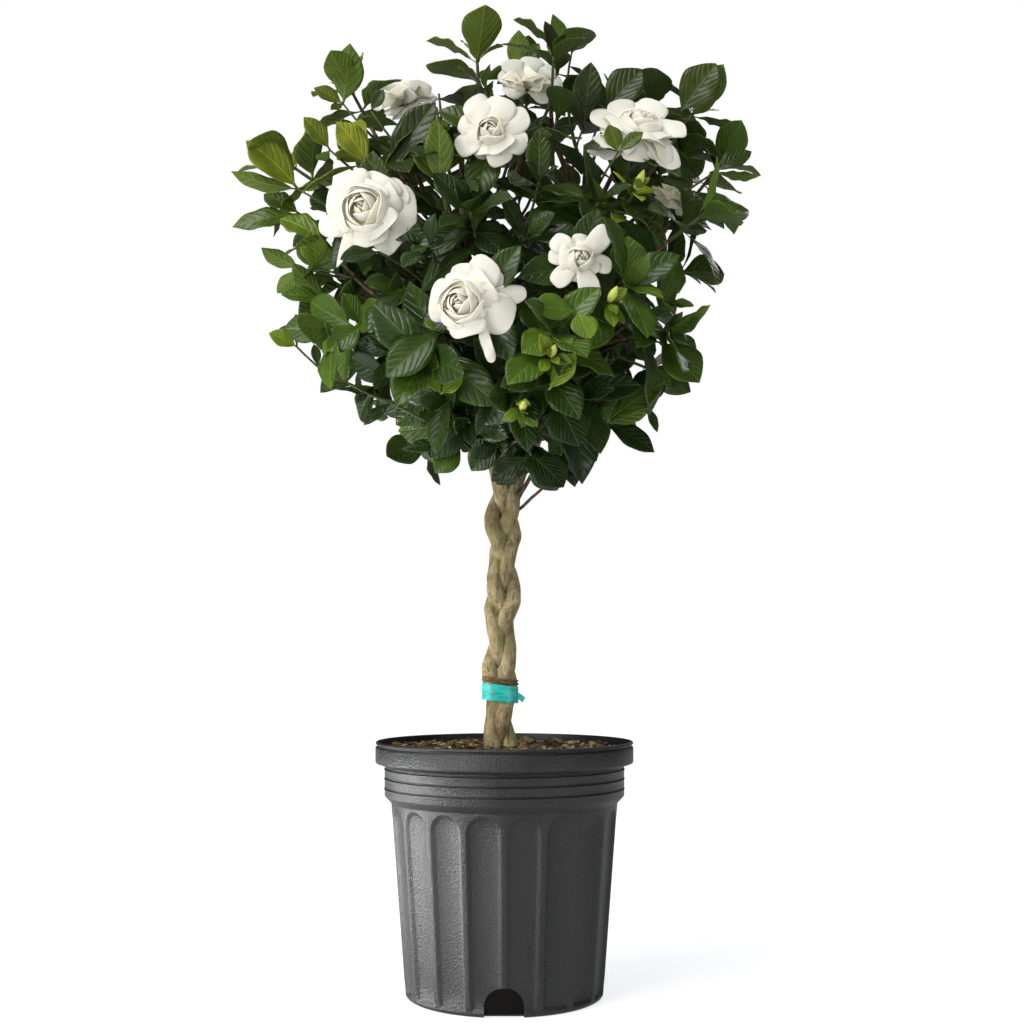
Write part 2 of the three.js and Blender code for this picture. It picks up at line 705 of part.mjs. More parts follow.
// A double flower: six spread petals, three cupped ones and a rolled heart on one axis.
function bloomParts({ seat, direction, radius, squat }) {
  const axis = bloomAxis(radius / 40);
  const at = (depth) => seat.clone().addScaledVector(direction, depth);
  const rings = axis.map(([depth, r]) => ringRound(at(depth), direction, r, 0));
  const petals = PETAL_WHORLS.flatMap((whorl) =>
    whorl.sides.map((side) => {
      const [[low, r], [high]] = axis.slice(whorl.ring, whorl.ring + 2);
      const heading = ((side + 0.5) * 2 * PI) / AXIS_SIDES;
      const { radial, along, face } = bladeWay(direction, heading, whorl.lean * DEG);
      const root = at((low + high) / 2).addScaledVector(radial, SIDE_REACH * r);
      const length = whorl.length * radius * (1 - squat * abs(along.z));
      const width = whorl.width * radius;
      const shape = { ...whorl, length, width, edge: PETAL_EDGE, thick: PETAL_THICK };
      const place = { root, along, face };
      return { ring: whorl.ring, side, points: bladePoints(place, shape), body: blade(place, shape) };
    }),
  );
  const points = axis.map(([depth]) => at(depth));
  const radii = axis.map(([, r]) => r);
  return { rings, petals, middle: limb(points, radii, AXIS_SIDES) };
}

// Furthest reach of the plaited stems along a level heading, over the height of the tie.
function tieReach(heading) {
  let reach = 0;
  for (const stem of STEMS)
    for (let z = TAPE_LOW - 2; z <= TAPE_HIGH + 2; z += 1) {
      const centre = plaitPoint(stem.phase, z);
      reach = max(reach, centre.x * cos(heading) + centre.y * sin(heading) + STEM_RADIUS);
    }
  return reach;
}

// Outline that a band pulled tight takes round the stems, at a clearance.
function tieOutline(clearance) {
  const turn = (2 * PI) / TAPE_SIDES;
  const corners = [];
  for (let i = 0; i < TAPE_SIDES; i++) {
    const here = tieReach(i * turn) + clearance;
    const next = tieReach((i + 1) * turn) + clearance;
    const side = (next - here * cos(turn)) / sin(turn);
    corners.push(new THREE.Vector2(here, side).rotateAround(new THREE.Vector2(), i * turn));
  }
  return corners;
}

// Tape wound round the trunk, a little higher at the left, with the tail of its knot.
function tapeTie() {
  const shape = new THREE.Shape(tieOutline(GAP + TAPE_THICK));
  shape.holes.push(new THREE.Path(tieOutline(GAP)));
  const band = new THREE.ExtrudeGeometry(shape, { depth: TAPE_HIGH - TAPE_LOW, bevelEnabled: false });
  band.translate(0, 0, TAPE_LOW);
  const reach = tieReach(0) + GAP;
  const tail = new THREE.BoxGeometry(6, 1.2, 3).rotateY(50 * DEG);
  tail.translate(reach + 2, -2, (TAPE_LOW + TAPE_HIGH) / 2 - 1);
  const whole = geometryOf(solid(band).add(solid(tail)));
  const position = whole.getAttribute("position");
  for (let i = 0; i < position.count; i++)
    position.setZ(i, position.getZ(i) - TAPE_SLANT * position.getX(i));
  return solid(whole);
}

// Two bare twigs under the crown on the right.
function lowTwigs() {
  const twig = (points, radii) => limb(points.map((p) => new THREE.Vector3(...p)), radii, TWIG_SIDES);
  return [
    twig([[9, -4, 436], [24, -6, 449], [38, -9, 461]], [1.6, 1.3, 1.1]),
    twig([[11, -3, 448], [19, -6, 461], [24, -8, 470]], [2.4, 2.1, 1.9]),
  ];
}

const MATERIALS = {
  plastic: { color: 0x26282a, roughness: 0.42, metalness: 0 },
  soil: { color: 0x4a3423, roughness: 0.95, metalness: 0 },
  bark: { color: 0x8a7c5c, roughness: 0.85, metalness: 0 },
  tape: { color: 0x22c7bd, roughness: 0.4, metalness: 0 },
  leafDark: { color: 0x24401a, roughness: 0.35, metalness: 0 },
  leafMid: { color: 0x3f6e22, roughness: 0.35, metalness: 0 },
  leafBright: { color: 0x6f9c33, roughness: 0.35, metalness: 0 },
  petal: { color: 0xf4efdf, roughness: 0.6, metalness: 0 },
};
const LEAF_TONES = [MATERIALS.leafDark, MATERIALS.leafMid, MATERIALS.leafBright];

const group = new THREE.Group();

function addPiece(name, piece, material) {
  const mesh = new THREE.Mesh(geometryOf(piece), new THREE.MeshStandardMaterial(material));
  mesh.name = name;
  group.add(mesh);
}

function shootName(index) {
  return "shoot_" + String(index + 1).padStart(2, "0");
}

function bloomName(index) {
  return "bloom_" + String(index + 1).padStart(2, "0");
}

// Trunk, shoot stems and blooms first, then the branches and leaves that have to keep clear of them.
function buildPlant() {
  const shoots = allShoots();
  const limbs = new Map(STEMS.map((stem) => [stem, [settle(trunkLimb(stem), stem.name)]]));
  for (const twig of lowTwigs()) limbs.get(STEMS[0]).push(settle(twig, STEMS[0].name));
  shoots.forEach((shoot, i) => settle(shootStem(shoot), shootName(i)));
  BLOOMS.forEach(([, , , , , , radius, squat], i) => {
    const { tip, direction } = shoots[i];
    const bloom = { seat: tip.clone().addScaledVector(direction, GAP), direction, radius, squat };
    const { rings, petals, middle } = bloomParts(bloom);
    for (const body of [middle, ...petals.map((petal) => petal.body)]) settle(body, bloomName(i));
    addPiece(bloomName(i), bladedAxis(rings, petals), MATERIALS.petal);
  });
  shoots.forEach((shoot, i) => {
    const { stem, branch } = clearBranch(shoot, i);
    limbs.get(stem).push(settle(branch, stem.name));
  });
  const cutters = [];
  for (const stem of STEMS) {
    const whole = cutters.reduce((left, cutter) => left.subtract(cutter), join(limbs.get(stem)));
    cutters.push(solid(trunkLimb(stem, GAP)));
    addPiece(stem.name, largest(whole), MATERIALS.bark);
  }
  addPiece("soil", soil(cutters), MATERIALS.soil);
  shoots.forEach((shoot, i) => {
    addPiece(shootName(i), growShoot(shoot, i), LEAF_TONES[shoot.tone]);
  });
}

addPiece("pot", pot(), MATERIALS.plastic);
addPiece("tape_tie", tapeTie(), MATERIALS.tape);
buildPlant();

export default group;
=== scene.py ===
"""Looks of the potted gardenia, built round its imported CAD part.

A crown of glossy leaves with double white flowers on a trunk of three plaited stems, tied with turquoise
tape, in a black nursery pot. Shapes are worked out in millimetres, and every Blender piece is in metres.
"""
import math
from functools import lru_cache

import bmesh
import bpy
import numpy as np
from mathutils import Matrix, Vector, noise


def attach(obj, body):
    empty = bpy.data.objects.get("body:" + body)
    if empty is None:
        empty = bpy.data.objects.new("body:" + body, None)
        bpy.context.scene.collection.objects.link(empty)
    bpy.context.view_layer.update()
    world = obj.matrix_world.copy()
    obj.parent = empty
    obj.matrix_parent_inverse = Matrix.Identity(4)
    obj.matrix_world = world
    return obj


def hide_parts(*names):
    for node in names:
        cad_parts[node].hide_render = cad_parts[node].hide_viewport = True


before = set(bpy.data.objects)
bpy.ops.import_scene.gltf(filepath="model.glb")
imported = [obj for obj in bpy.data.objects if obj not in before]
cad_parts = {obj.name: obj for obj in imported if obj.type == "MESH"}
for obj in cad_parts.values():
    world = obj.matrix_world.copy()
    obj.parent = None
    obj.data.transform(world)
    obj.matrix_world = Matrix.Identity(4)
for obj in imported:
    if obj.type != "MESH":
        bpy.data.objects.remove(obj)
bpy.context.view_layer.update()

MM = 0.001
TAU = 2 * math.pi
DEG = math.pi / 180
GAP = 0.3  # clearance between pieces that touch
MASK_32 = 2**32 - 1

# Pot
RIM_RADIUS = 116.6
LIP_TOP = 229.8
BAND_RADIUS = 108.4
BODY_TOP_RADIUS = 102.3
BODY_FOOT_RADIUS = 90
BODY_TOP = 174
FOOT_CHAMFER = 3
FLOOR_THICKNESS = 2.5
WALL = 4.2
BAND_GROOVES = (188.5, 197.5, 206)
FLUTES = 18
FLUTE_DEPTH = 2.8
FLUTE_FOOT = 4
FLUTE_HALF_TOP = 15.2
FLUTE_HALF_FOOT = 13.8
FLUTE_SLOPE = 3.4  # width of the sloped wall round a flute's floor
SECTOR_LOW = 3.3
SECTOR_HIGH = 173.6
NOTCHES = 4
NOTCH_HALF = 17
NOTCH_HEIGHT = 26
NOTCH_REACH = 80
NOTCH_LONG = 30
ARCH_STEPS = 16
EDGE_STEPS = 8  # steps along the top and bottom edge of a flute's sector
SIDE_ROWS = 12
POT_CREASE = 35
POT_WELD = 0.00005  # in metres

# Soil
SOIL_TOP = 220
SOIL_HEAP = 3  # how far the loose chips and soil lie over the packed soil
SOIL_LUMPS = ((16, 3.1, 2.2), (5, 7.7, 1.1))  # width, level that they are drawn at, and height
SOIL_FLAT = 96  # the radius past which the soil falls to the wall
SOIL_FALL = 0.09
SOIL_RADIUS = 113
SOIL_RINGS = 34
SOIL_SIDES = 96
SOIL_WALL = ((113.2, 213.4), (104.1, 209.3), (97.8, 180.3), (85.5, 2.8))  # radius and height
BARK_CHIPS = 2800
CHIP_REACH = 107
CHIP_SIZE = np.array([10, 6, 3])
CHIP_SEED = 71

# Trunk
STEM_RADIUS = 6.3
GROWN_RADIUS = 7.2  # with the bark, where the stems have grown together
PLAIT_CLOSER = 0.9
STEM_FOOT = 196
FORK = 455
TRUNK_LEAN = 6  # how far the foot stands to the left of the fork
PLAIT_PITCH = 138
PLAIT_WIDE = 8.8
PLAIT_SWELL = 2.6
PLAIT_DEEP = 4.6
BULGE_PITCH = 69
BULGE_AT = 429
LEADER_TOP = 770
LEADER_SPREAD = 66
LEADER_TIP_RADIUS = 2
LEADER_CLIMB = 230  # height over which the leaders spread
FORK_BLEND = 40  # height over which the grown stems part
TRUNK_RINGS = 80
LEADER_RINGS = 30
STEM_SIDES = 22
BRANCH_SIDES = 8

# Crown
BRANCH_RADIUS = 2.9
BRANCH_LOW = 478
BRANCH_RISE = 0.7
BRANCH_SHIFTS = (0, -15, 15, -30, 30, -45, 45, -70, 70)
TWIG_RADIUS = 1.7
AXIS_SIDES = 6
SIDE_REACH = math.cos(math.pi / AXIS_SIDES)
BAND = 1  # height of the ring of a stem that carries a whorl
CROWN_HEART = np.array([0.0, 0.0, 620.0])
LEAFY_STEM = 34
LEAF_WIDTH = 0.5
LEAF_LEAN = 0.12
LEAF_LIGHT = 0.35
CAD_LEAF_THICK = 0.8
LEAF_THICK = 0.5
LEAF_VEINS = 6.5
LEAF_GRID = (13, 8)
PETAL_THICK = 0.6
PETAL_GRID = (12, 10)
HEART_GRID = (9, 12)
HEART_RADIUS = 40  # radius of the bloom that the layers of the heart are written for
HEART_DEPTH = 13.5
HEART_FOOT = 92  # where the petals of a bloom's heart start, in degrees from its axis
ROOT_HALF = 0.9
SHOOT_SEED = 5000
BLOOM_SEED = 7000
FOUND = 0.1  # how near a vertex of the CAD node has to lie to a point, to count as that point

# Sprays, twigs and buds
INNER_SPRAYS = 64
INNER_TRIES = 600
INNER_LOW = 510
INNER_HIGH = 830
SPRAY_STEM = 26
SPRAY_SHIFT = 60  # over how much of its stem a spray's twig may start
SPRAY_STEPS = 6
BLOOM_CLEAR = 1.15  # how far added leaves stay off a bloom, as a share of its radius
BLOOM_SIGHT = 0.8  # the same as the camera sees it, for leaves nearer to the camera than the bloom
BLOOM_BACK = -9  # added leaves may lie further behind a bloom's middle than this
OUTER_GRID = (11, 6)
INNER_GRID = (9, 6)
BUD_LEAF = 24
BUD_LEAF_TONE = 0.8
BUD_GRID = (10, 6)
BUD_LONG = 1.6
BUD_WIDE = 0.34
OUTER_SEED = 311
INNER_SEED = 977
TWIG_SEED = 523
BUD_SEED = 419

# Tape and fibre
TAPE_LOW = 265
TAPE_HIGH = 280
TAPE_THICK = 0.5
TAPE_SLANT = 0.12
TAPE_ROWS = 10
TAPE_STEPS = 96
TAIL_HEADING = -0.2  # where on the band the tail of the knot starts, in radians from the right
TAIL_HEIGHT = 271.5
TAIL_WAY = np.array([0.85, -0.5, -0.35])
TAIL_FACE = np.array([0.1, -0.9, 0.3])
FIBRE_TURNS = ((282.6, 1.0), (285.2, 0.8))  # height and half thickness
FIBRE_STEPS = 72
FIBRE_SIDES = 8

# Camera and floor
CAMERA_AT = (0.0068, -1.35, 0.318)
CAMERA_MM = np.array(CAMERA_AT) / MM
CAMERA_LENS = 52.33
CAMERA_SHIFT = 0.1283
SENSOR = 36
PHOTO_SIZE = 1024
MIDDLE_ROW = PHOTO_SIZE * (0.5 + CAMERA_SHIFT)
FLOOR_RADIUS = 60
FLOOR_DROP = 0.0002
SUN_POWER = 2.4
SUN_SPREAD = 40  # how wide the sun's disc is, in degrees
SUN_FROM = (-1.5, -1.3, 2.7)
SUN_TO = (0, 0, 0.3)
SKY_LIGHT = 0.52  # strength of the sky as light, where it shows as 1
SKY_MIRRORED = 0.07  # its strength in reflections

# Area lights: name, place, target, size and power.
AREA_LIGHTS = [
    ("front", (-1.5, -1.8, 0.7), (0, 0, 0.6), 1.0, 20),
    ("back", (0.9, 1.6, 1.9), (0, 0, 0.5), 1.2, 10),
    ("pot_side", (-0.5, -0.02, 0.0), (0, 0, 0.03), 0.35, 6),
    ("pot_front", (-0.47, -0.52, 0.02), (0, 0, 0.03), 0.2, 1.9),
    ("pot_right", (0.75, -0.75, 0.25), (0, 0, 0.14), 0.25, 1.3),
]

# Whorl centre of each shoot that the photo shows: x, y, z, leaf length, tone from 0, dark, to 2, bright, how
# far it turns up, and its seed.
SEEN_SHOOTS = [
    (-139, 10, 821, 54, 1, 0.25, 447),
    (-189, -10, 746, 62, 2, 0, 463),
    (-155, -70, 665, 54, 2, 0.75, 148),
    (-166, -20, 602, 46, 1, 0.5, 246),
    (-140, -115, 578, 50, 2, 0, 446),
    (-61, -142, 552, 58, 1, 0, 352),
    (-122, -60, 735, 54, 2, 0, 176),
    (-25, 10, 850, 58, 1, 0.75, 55),
    (52, 5, 855, 56, 1, 0, 189),
    (132, 20, 812, 54, 1, 0.25, 197),
    (170, -5, 796, 56, 1, 0.25, 34),
    (194, 10, 752, 54, 1, 0.5, 460),
    (166, -95, 678, 58, 2, 0.25, 447),
    (98, -150, 605, 60, 2, 0.5, 202),
    (134, -85, 582, 60, 1, 0.25, 128),
    (40, -172, 563, 54, 2, 0.75, 306),
    (164, 20, 660, 54, 0, 0, 286),
    (58, -112, 525, 60, 0, 0.75, 181),
    (23, -66, 489, 56, 0, 0.25, 492),
    (-45, -52, 507, 52, 1, 0.5, 369),
    (-112, -40, 543, 52, 0, 0, 372),
    (98, -10, 535, 56, 0, 0.5, 464),
]
FIRST_SEED = 1000

# Blooms: centre x, y, z, the way each faces, radius, and how much shorter the petals are that point up or
# down.
BLOOMS = [
    (-109, -130, 671, -0.2, -0.97, -0.05, 38, 0.1),
    (-21, -185, 586, -0.25, -0.95, -0.1, 40, 0.3),
    (61, -170, 620, 0.05, -0.98, -0.1, 33, 0.12),
    (-9, -140, 737, 0, -0.97, 0.15, 31, 0.05),
    (20, -60, 803, 0.05, -0.5, 0.86, 28, 0),
    (111, -100, 747, 0.2, -0.6, 0.77, 42, 0),
    (-92, -20, 800, -0.2, -0.1, 0.97, 33, 0),
    (148, -50, 712, 0.5, -0.6, 0.62, 17, 0),
    (-70, 160, 705, -0.35, 0.9, 0.25, 36, 0.1),
    (95, 140, 640, 0.5, 0.84, 0.2, 34, 0.1),
]
BLOOM_DEPTH = 15
BLOOM_STEM = 30
BLOOM_LEAF = 50

# Shoots that fill the back
BACK_TRIES = 40
BACK_FROM = 25  # how far behind the pot's axis they start
BACK_SHOOTS = 9
BACK_APART = 78
BACK_LOW = 505
BACK_HIGH = 845
BACK_LEAF = 55
GOLDEN_ANGLE = math.pi * (3 - math.sqrt(5))

# Outline of the crown: height and radius.
CROWN_OUTLINE = [(500, 80), (545, 120), (600, 155), (680, 170), (745, 190), (800, 165), (850, 60)]

# Sprays that the photo shows between the shoots of the CAD part: x, y, z, leaf length and tone.
SEEN_SPRAYS = [
    (-160, 20, 715, 50, 0),
    (-150, -20, 640, 50, 1),
    (14, 40, 845, 50, 1),
    (96, -20, 800, 50, 0),
    (133, -115, 600, 52, 1),
    (35, -150, 538, 52, 0),
    (-56, -125, 717, 50, 0),
    (29, -135, 695, 48, 0),
    (-27, -150, 667, 48, 0),
    (78, -130, 680, 50, 0),
    (-83, -140, 607, 52, 0),
    (17, -145, 647, 50, 0),
    (-45, -105, 521, 50, 0),
    (10, -125, 525, 54, 0),
    (-100, -60, 754, 50, 0),
    (-60, -140, 640, 48, 0),
    (-6, -45, 500, 50, 0),
    (165, 20, 770, 50, 0),
    (150, 10, 700, 50, 0),
    (50, 20, 815, 48, 0),
    (-60, 10, 820, 48, 0),
    (100, -60, 640, 50, 0),
    (14, 60, 738, 54, 0),
    (-40, 70, 705, 54, 0),
    (80, 60, 722, 54, 0),
    (40, 30, 690, 54, 0),
]

# Twigs that the photo shows: points of each from where it leaves its branch, as column, row and depth, and
# its leaves. A leaf has the number of its point, its tip as column, row and depth, its width as a share of
# its length, its tone, and 1 where it shows its upper side or -1 where it shows its underside.
SEEN_TWIGS = [
    ([(330, 150, -70)], [(0, 304, 117, -76, 0.5, 0.6, 1), (0, 318, 160, -84, 0.44, 0.45, -1)]),
    ([(369, 165, -96)], [(0, 338, 121, -104, 0.6, 0.78, 1)]),
    ([(343, 104, -16)], [(0, 314, 88, -20, 0.5, 0.5, 1), (0, 331, 110, -24, 0.5, 0.3, 1),
                         (0, 353, 44, -10, 0.44, 0.55, -1)]),
    ([(439, 186, -136)], [(0, 441, 122, -152, 0.42, 0.56, 1)]),
    ([(300, 214, -30)], [(0, 233, 229, -30, 0.36, 0.5, 1), (0, 262, 196, -10, 0.4, 0.4, 1)]),
    ([(387, 172, -62)], [(0, 438, 104, -66, 0.42, 0.08, 1), (0, 452, 140, -80, 0.4, 0.1, 1)]),
    ([(440, 184, -112)], [(0, 441, 117, -124, 0.44, 0.58, -1), (0, 414, 150, -110, 0.4, 0.4, 1)]),
    ([(316, 268, -66)], [(0, 313, 231, -84, 0.72, 0.84, 1), (0, 296, 244, -70, 0.4, 0.6, -1)]),
    ([(300, 268, -36)], [(0, 262, 247, -30, 0.44, 0.6, -1), (0, 276, 292, -40, 0.5, 0.62, -1)]),
    ([(520, 76, -24)], [(0, 519, 30, -30, 0.5, 0.66, -1), (0, 540, 44, -20, 0.42, 0.3, 1)]),
    ([(572, 52, 4)], [(0, 553, 14, 0, 0.4, 0.5, -1), (0, 590, 30, 4, 0.42, 0.3, -1)]),
    ([(583, 128, -66)], [(0, 588, 62, -74, 0.44, 0.12, 1), (0, 568, 92, -76, 0.4, 0.14, 1)]),
    ([(604, 112, -72)], [(0, 643, 70, -70, 0.62, 0.1, 1)]),
    ([(679, 114, -34)], [(0, 717, 64, -38, 0.6, 0.2, 1)]),
    ([(379, 252, -128)], [(0, 341, 261, -140, 0.5, 0.14, 1)]),
    ([(577, 312, -178)], [(0, 532, 309, -188, 0.7, 0.6, 1), (0, 590, 340, -188, 0.8, 0.78, 1)]),
    ([(298, 189, -46)], [(0, 248, 139, -54, 0.5, 0.68, 1), (0, 231, 172, -40, 0.28, 0.6, -1)]),
    ([(715, 172, -40)], [(0, 750, 150, -34, 0.42, 0.16, 1), (0, 760, 175, -30, 0.26, 0.52, -1)]),
    ([(627, 286, -134)], [(0, 629, 236, -142, 0.76, 0.62, 1)]),
    ([(555, 334, -164)], [(0, 521, 352, -176, 0.8, 0.66, 1)]),
    ([(549, 390, -158)], [(0, 577, 354, -168, 0.5, 0.86, 1)]),
    ([(646, 405, -40)], [(0, 658, 432, -40, 0.3, 0.3, 1), (0, 666, 385, -40, 0.36, 0.2, 1)]),
    ([(326, 300, -76)], [(0, 281, 293, -84, 0.4, 0.6, 1), (0, 291, 264, -76, 0.44, 0.55, -1)]),
    ([(362, 326, -118)], [(0, 329, 353, -128, 0.66, 0.56, 1), (0, 343, 293, -126, 0.6, 0.5, 1),
                          (0, 388, 311, -130, 0.56, 0.6, 1)]),
    ([(441, 332, -158)], [(0, 386, 377, -166, 0.56, 0.34, 1), (0, 424, 323, -172, 0.4, 0.86, 1)]),
    ([(618, 153, -150)], [(0, 608, 125, -152, 0.62, 0.55, 1), (0, 643, 132, -150, 0.46, 0.4, 1)]),
    ([(371, 111, -50)], [(0, 384, 90, -52, 0.55, 0.12, 1)]),
    ([(441, 394, -140)], [(0, 464, 376, -146, 0.62, 0.88, 1), (0, 424, 368, -140, 0.5, 0.8, 1)]),
    ([(462, 446, -70)], [(0, 434, 472, -76, 0.68, 0.56, 1), (0, 401, 448, -74, 0.22, 0.2, 1)]),
    ([(606, 424, -60)], [(0, 655, 451, -64, 0.4, 0.08, 1), (0, 651, 400, -70, 0.4, 0.6, -1),
                         (0, 662, 381, -66, 0.36, 0.55, 1)]),
    ([(659, 342, -84)], [(0, 699, 383, -92, 0.68, 0.52, 1)]),
    ([(553, 400, -140)], [(0, 581, 445, -150, 0.76, 0.1, 1)]),
    ([(531, 456, -110)], [(0, 564, 487, -118, 0.84, 0.04, 1), (0, 492, 482, -112, 0.6, 0.04, 1)]),
    ([(564, 444, -90)], [(0, 575, 487, -92, 0.44, 0.05, 1), (0, 592, 464, -80, 0.3, 0.05, 1)]),
    ([(422, 419, -78), (391, 403, -82), (368, 394, -86), (352, 385, -88), (336, 378, -90), (318, 367, -92),
      (306, 356, -94), (297, 347, -96)],
     [(7, 269, 333, -102, 0.6, 0.84, 1), (7, 295, 314, -94, 0.26, 0.2, 1),
      (5, 315, 344, -92, 0.4, 0.25, 1), (3, 321, 389, -90, 0.24, 0.25, 1),
      (1, 363, 424, -84, 0.34, 0.15, 1), (2, 356, 402, -88, 0.5, 0.05, 1)]),
]

# Where the photo shows the white ground among and round the leaves: left, top, right and bottom.
CLEAR_ZONES = [
    (410, 0, 455, 50), (434, 68, 464, 90), (366, 36, 427, 80), (224, 71, 300, 130),
    (598, 10, 645, 58), (645, 10, 700, 80), (290, 395, 354, 475), (354, 428, 396, 475),
    (372, 455, 424, 510), (357, 334, 371, 364), (224, 236, 262, 262), (224, 188, 250, 210),
    (662, 395, 720, 475), (606, 455, 720, 505), (705, 300, 760, 400), (224, 262, 270, 330),
    (528, 198, 545, 222), (406, 262, 420, 280),
]

# Closed buds: x, y, z and size.
BUDS = [
    (108, -128, 690, 11),
    (84, -165, 590, 10),
    (38, -172, 545, 9),
    (15, -140, 508, 10),
]

# Bare twigs that the photo shows under the crown: x, y, z and radius at each point.
LOW_TWIGS = [
    [(9, -4, 436, 1.6), (17, -5.3, 442, 1.45), (24, -6, 449, 1.3), (31, -7, 455, 1.2), (38, -9, 461, 1.1)],
    [(11, -3, 448, 2.6), (15, -4.6, 455, 2.3), (19, -6, 461, 2.1), (22, -7, 466, 2.0), (24, -8, 470, 1.9)],
]

# The plait's stems: the way each leader heads, where its turns start, its tone, and its own bare twigs.
STEMS = [
    {"name": "stem_right", "heading": 0, "phase": math.pi / 2, "tone": 0.2, "twigs": LOW_TWIGS},
    {"name": "stem_back", "heading": 120 * DEG, "phase": 210 * DEG, "tone": 0.5, "twigs": []},
    {"name": "stem_front", "heading": 240 * DEG, "phase": 330 * DEG, "tone": 0.8, "twigs": []},
]

# Whorls of a shoot: height as a share of its stem, and the side, angle and size of each leaf.
LEAFY_WHORLS = [
    (0.45, [(0, 86, 1.05), (2, 86, 1.05), (4, 86, 1.05)]),
    (0.98, [(1, 56, 1), (3, 62, 1), (5, 30, 0.9)]),
]
BLOOM_WHORLS = [(0.85, [(0, 72, 1), (2, 72, 1), (4, 72, 1)])]

# Turns, leans and sizes that the CAD part tries for a leaf until it stands clear.
LEAF_TRIES = [
    (0, 0, 1),
    (16, 0, 1),
    (-16, 0, 1),
    (0, -18, 1),
    (0, 14, 1),
    (24, -16, 0.9),
    (-24, 14, 0.9),
    (0, -30, 0.8),
]

LEAF_VALUES = (0.22, 0.45, 0.66)  # for the tones 0, 1 and 2 of a shoot

# Tone of the leaves of each shoot that the photo shows, from 0, dark, to 1, bright.
SHOOT_VALUES = (
    0.64, 0.68, 0.62, 0.48, 0.52, 0.36, 0.80, 0.66, 0.62, 0.36, 0.42,
    0.44, 0.38, 0.44, 0.38, 0.48, 0.28, 0.12, 0.18, 0.50, 0.24, 0.20,
)

# Whorls of petals: headings, depth along the bloom's axis, lean, length and width as shares of the bloom's
# radius, rise, droop, fold, cup and tone.
PETAL_WHORLS = [
    ((90, 210, 330), 10.2, 97, 0.92, 0.94, 0.08, 0.20, 0.0, 0.9, 0.0),
    ((30, 150, 270), 11.0, 89, 0.94, 0.98, 0.14, 0.24, 0.0, 0.7, 0.0),
    ((60, 180, 300), 12.0, 80, 0.84, 0.96, 0.08, 0.16, 0.0, 0.2, 0.02),
]

# How a bloom differs: how far its heart lies to the right and up, how far it has opened, how many layers its
# heart has, how large the heart is, and how long its plain petals are.
BLOOM_LOOKS = {
    0: (-6, 4, 1.0, 5, 1.22, 0.72),
    1: (-13, -1, 1.0, 5, 1.05, 0.68),
    2: (0, 3, 1.0, 3, 1.2, 0.5),
    3: (-2, -2, 1.0, 4, 1.15, 0.7),
    4: (0, 0, 0.5, 3, 0.9, 0.7),
    5: (4, 8, 0.95, 5, 1.0, 0.74),
    6: (2, 4, 0.6, 4, 1.15, 0.8),
}
PLAIN_LOOK = (0, 0, 1.0, 6, 1.0, 1.0)
BLOOM_TONES = {4: 0.2, 7: 0.6}  # how far a bloom has turned cream, where it isn't white
# The petals of these blooms are also painted lighter: painted light on blooms that lie in shade.
PAINTED_LIGHT_BLOOMS = (4, 6, 7)  # with the light through all their petals, not only through the heart

# Outer petals that the photo shows, by bloom: column and row of the tip, how far the tip lies behind the
# middle of the bloom, and the petal's width.
SEEN_PETALS = {
    0: [(326, 203, 7, 30), (334, 225, 8, 24), (417, 209, 8, 44), (404, 240, 10, 36), (406, 188, 6, 30),
        (343, 177, 3, 34), (385, 175, 3, 38), (375, 245, 2, 32)],
    1: [(527, 296, 12, 16), (514, 320, 8, 32), (508, 286, 8, 26), (430, 297, 4, 34), (466, 263, 5, 24),
        (495, 262, 4, 28), (452, 328, 3, 26), (469, 336, 0, 30)],
    2: [(612, 263, 8, 15), (553, 237, 5, 17), (611, 231, 4, 18), (548, 257, 7, 13), (554, 285, 6, 16),
        (594, 301, 3, 17), (583, 234, 8, 15)],
    3: [(456, 149, 5, 20), (484, 155, 8, 18), (530, 118, 7, 22), (527, 145, 6, 22), (505, 164, 3, 22),
        (470, 98, 5, 24), (503, 97, 4, 26), (459, 122, 8, 18)],
    4: [(532, 57, 12, 24), (513, 59, 9, 22), (550, 65, 9, 22), (500, 72, 3, 22), (563, 84, 2, 20),
        (504, 92, -5, 20), (554, 99, -6, 19), (533, 70, -9, 26)],
    5: [(614, 101, 12, 28), (655, 100, 12, 28), (589, 119, 4, 22), (686, 127, 3, 24), (587, 150, -2, 20),
        (676, 169, -10, 22), (600, 157, -8, 18), (638, 162, -12, 26)],
    6: [(389, 84, 10, 20), (405, 81, 12, 20), (421, 86, 10, 18), (437, 97, 4, 18), (371, 106, 2, 18),
        (433, 107, -4, 16), (403, 118, -9, 24), (385, 114, -5, 16)],
}

# Narrow petals that hang or stand apart: bloom, column and row of the root and of the tip, how far it lies
# behind the bloom's middle, width, and whether it is pointed.
LONE_PETALS = [
    (0, 362, 218, 338, 267, 10, 13, True),
    (0, 358, 230, 318, 225, 9, 18, False),
    (1, 477, 312, 494, 361, 6, 9, False),
    (5, 652, 136, 677, 163, -10, 18, False),
]

# Layers of petals that lie over each other round a bloom's heart: radius, height, how near the axis they
# reach in degrees, how many there are, half of the turn that each covers in degrees, and tone.
HEART_LAYERS = [
    (4.2, 10.2, 4, 2, 118, 0.26),
    (7.0, 11.8, 21, 3, 78, 0.22),
    (10.0, 12.8, 33, 3, 74, 0.17),
    (13.2, 13.0, 45, 3, 68, 0.11),
    (16.6, 12.4, 54, 4, 58, 0.06),
    (20.4, 11.2, 62, 4, 54, 0.03),
]

# Whorls of a spray: distance from its tip, angle, size and number of leaves.
SPRAY_ROWS = [(22, 84, 1.0, 3), (5, 56, 0.9, 3), (0, 26, 0.55, 2)]


def unit(vector):
    return vector / np.linalg.norm(vector)


def polar(radius, turn, z=0.0):
    return np.array([radius * math.cos(turn), radius * math.sin(turn), z])


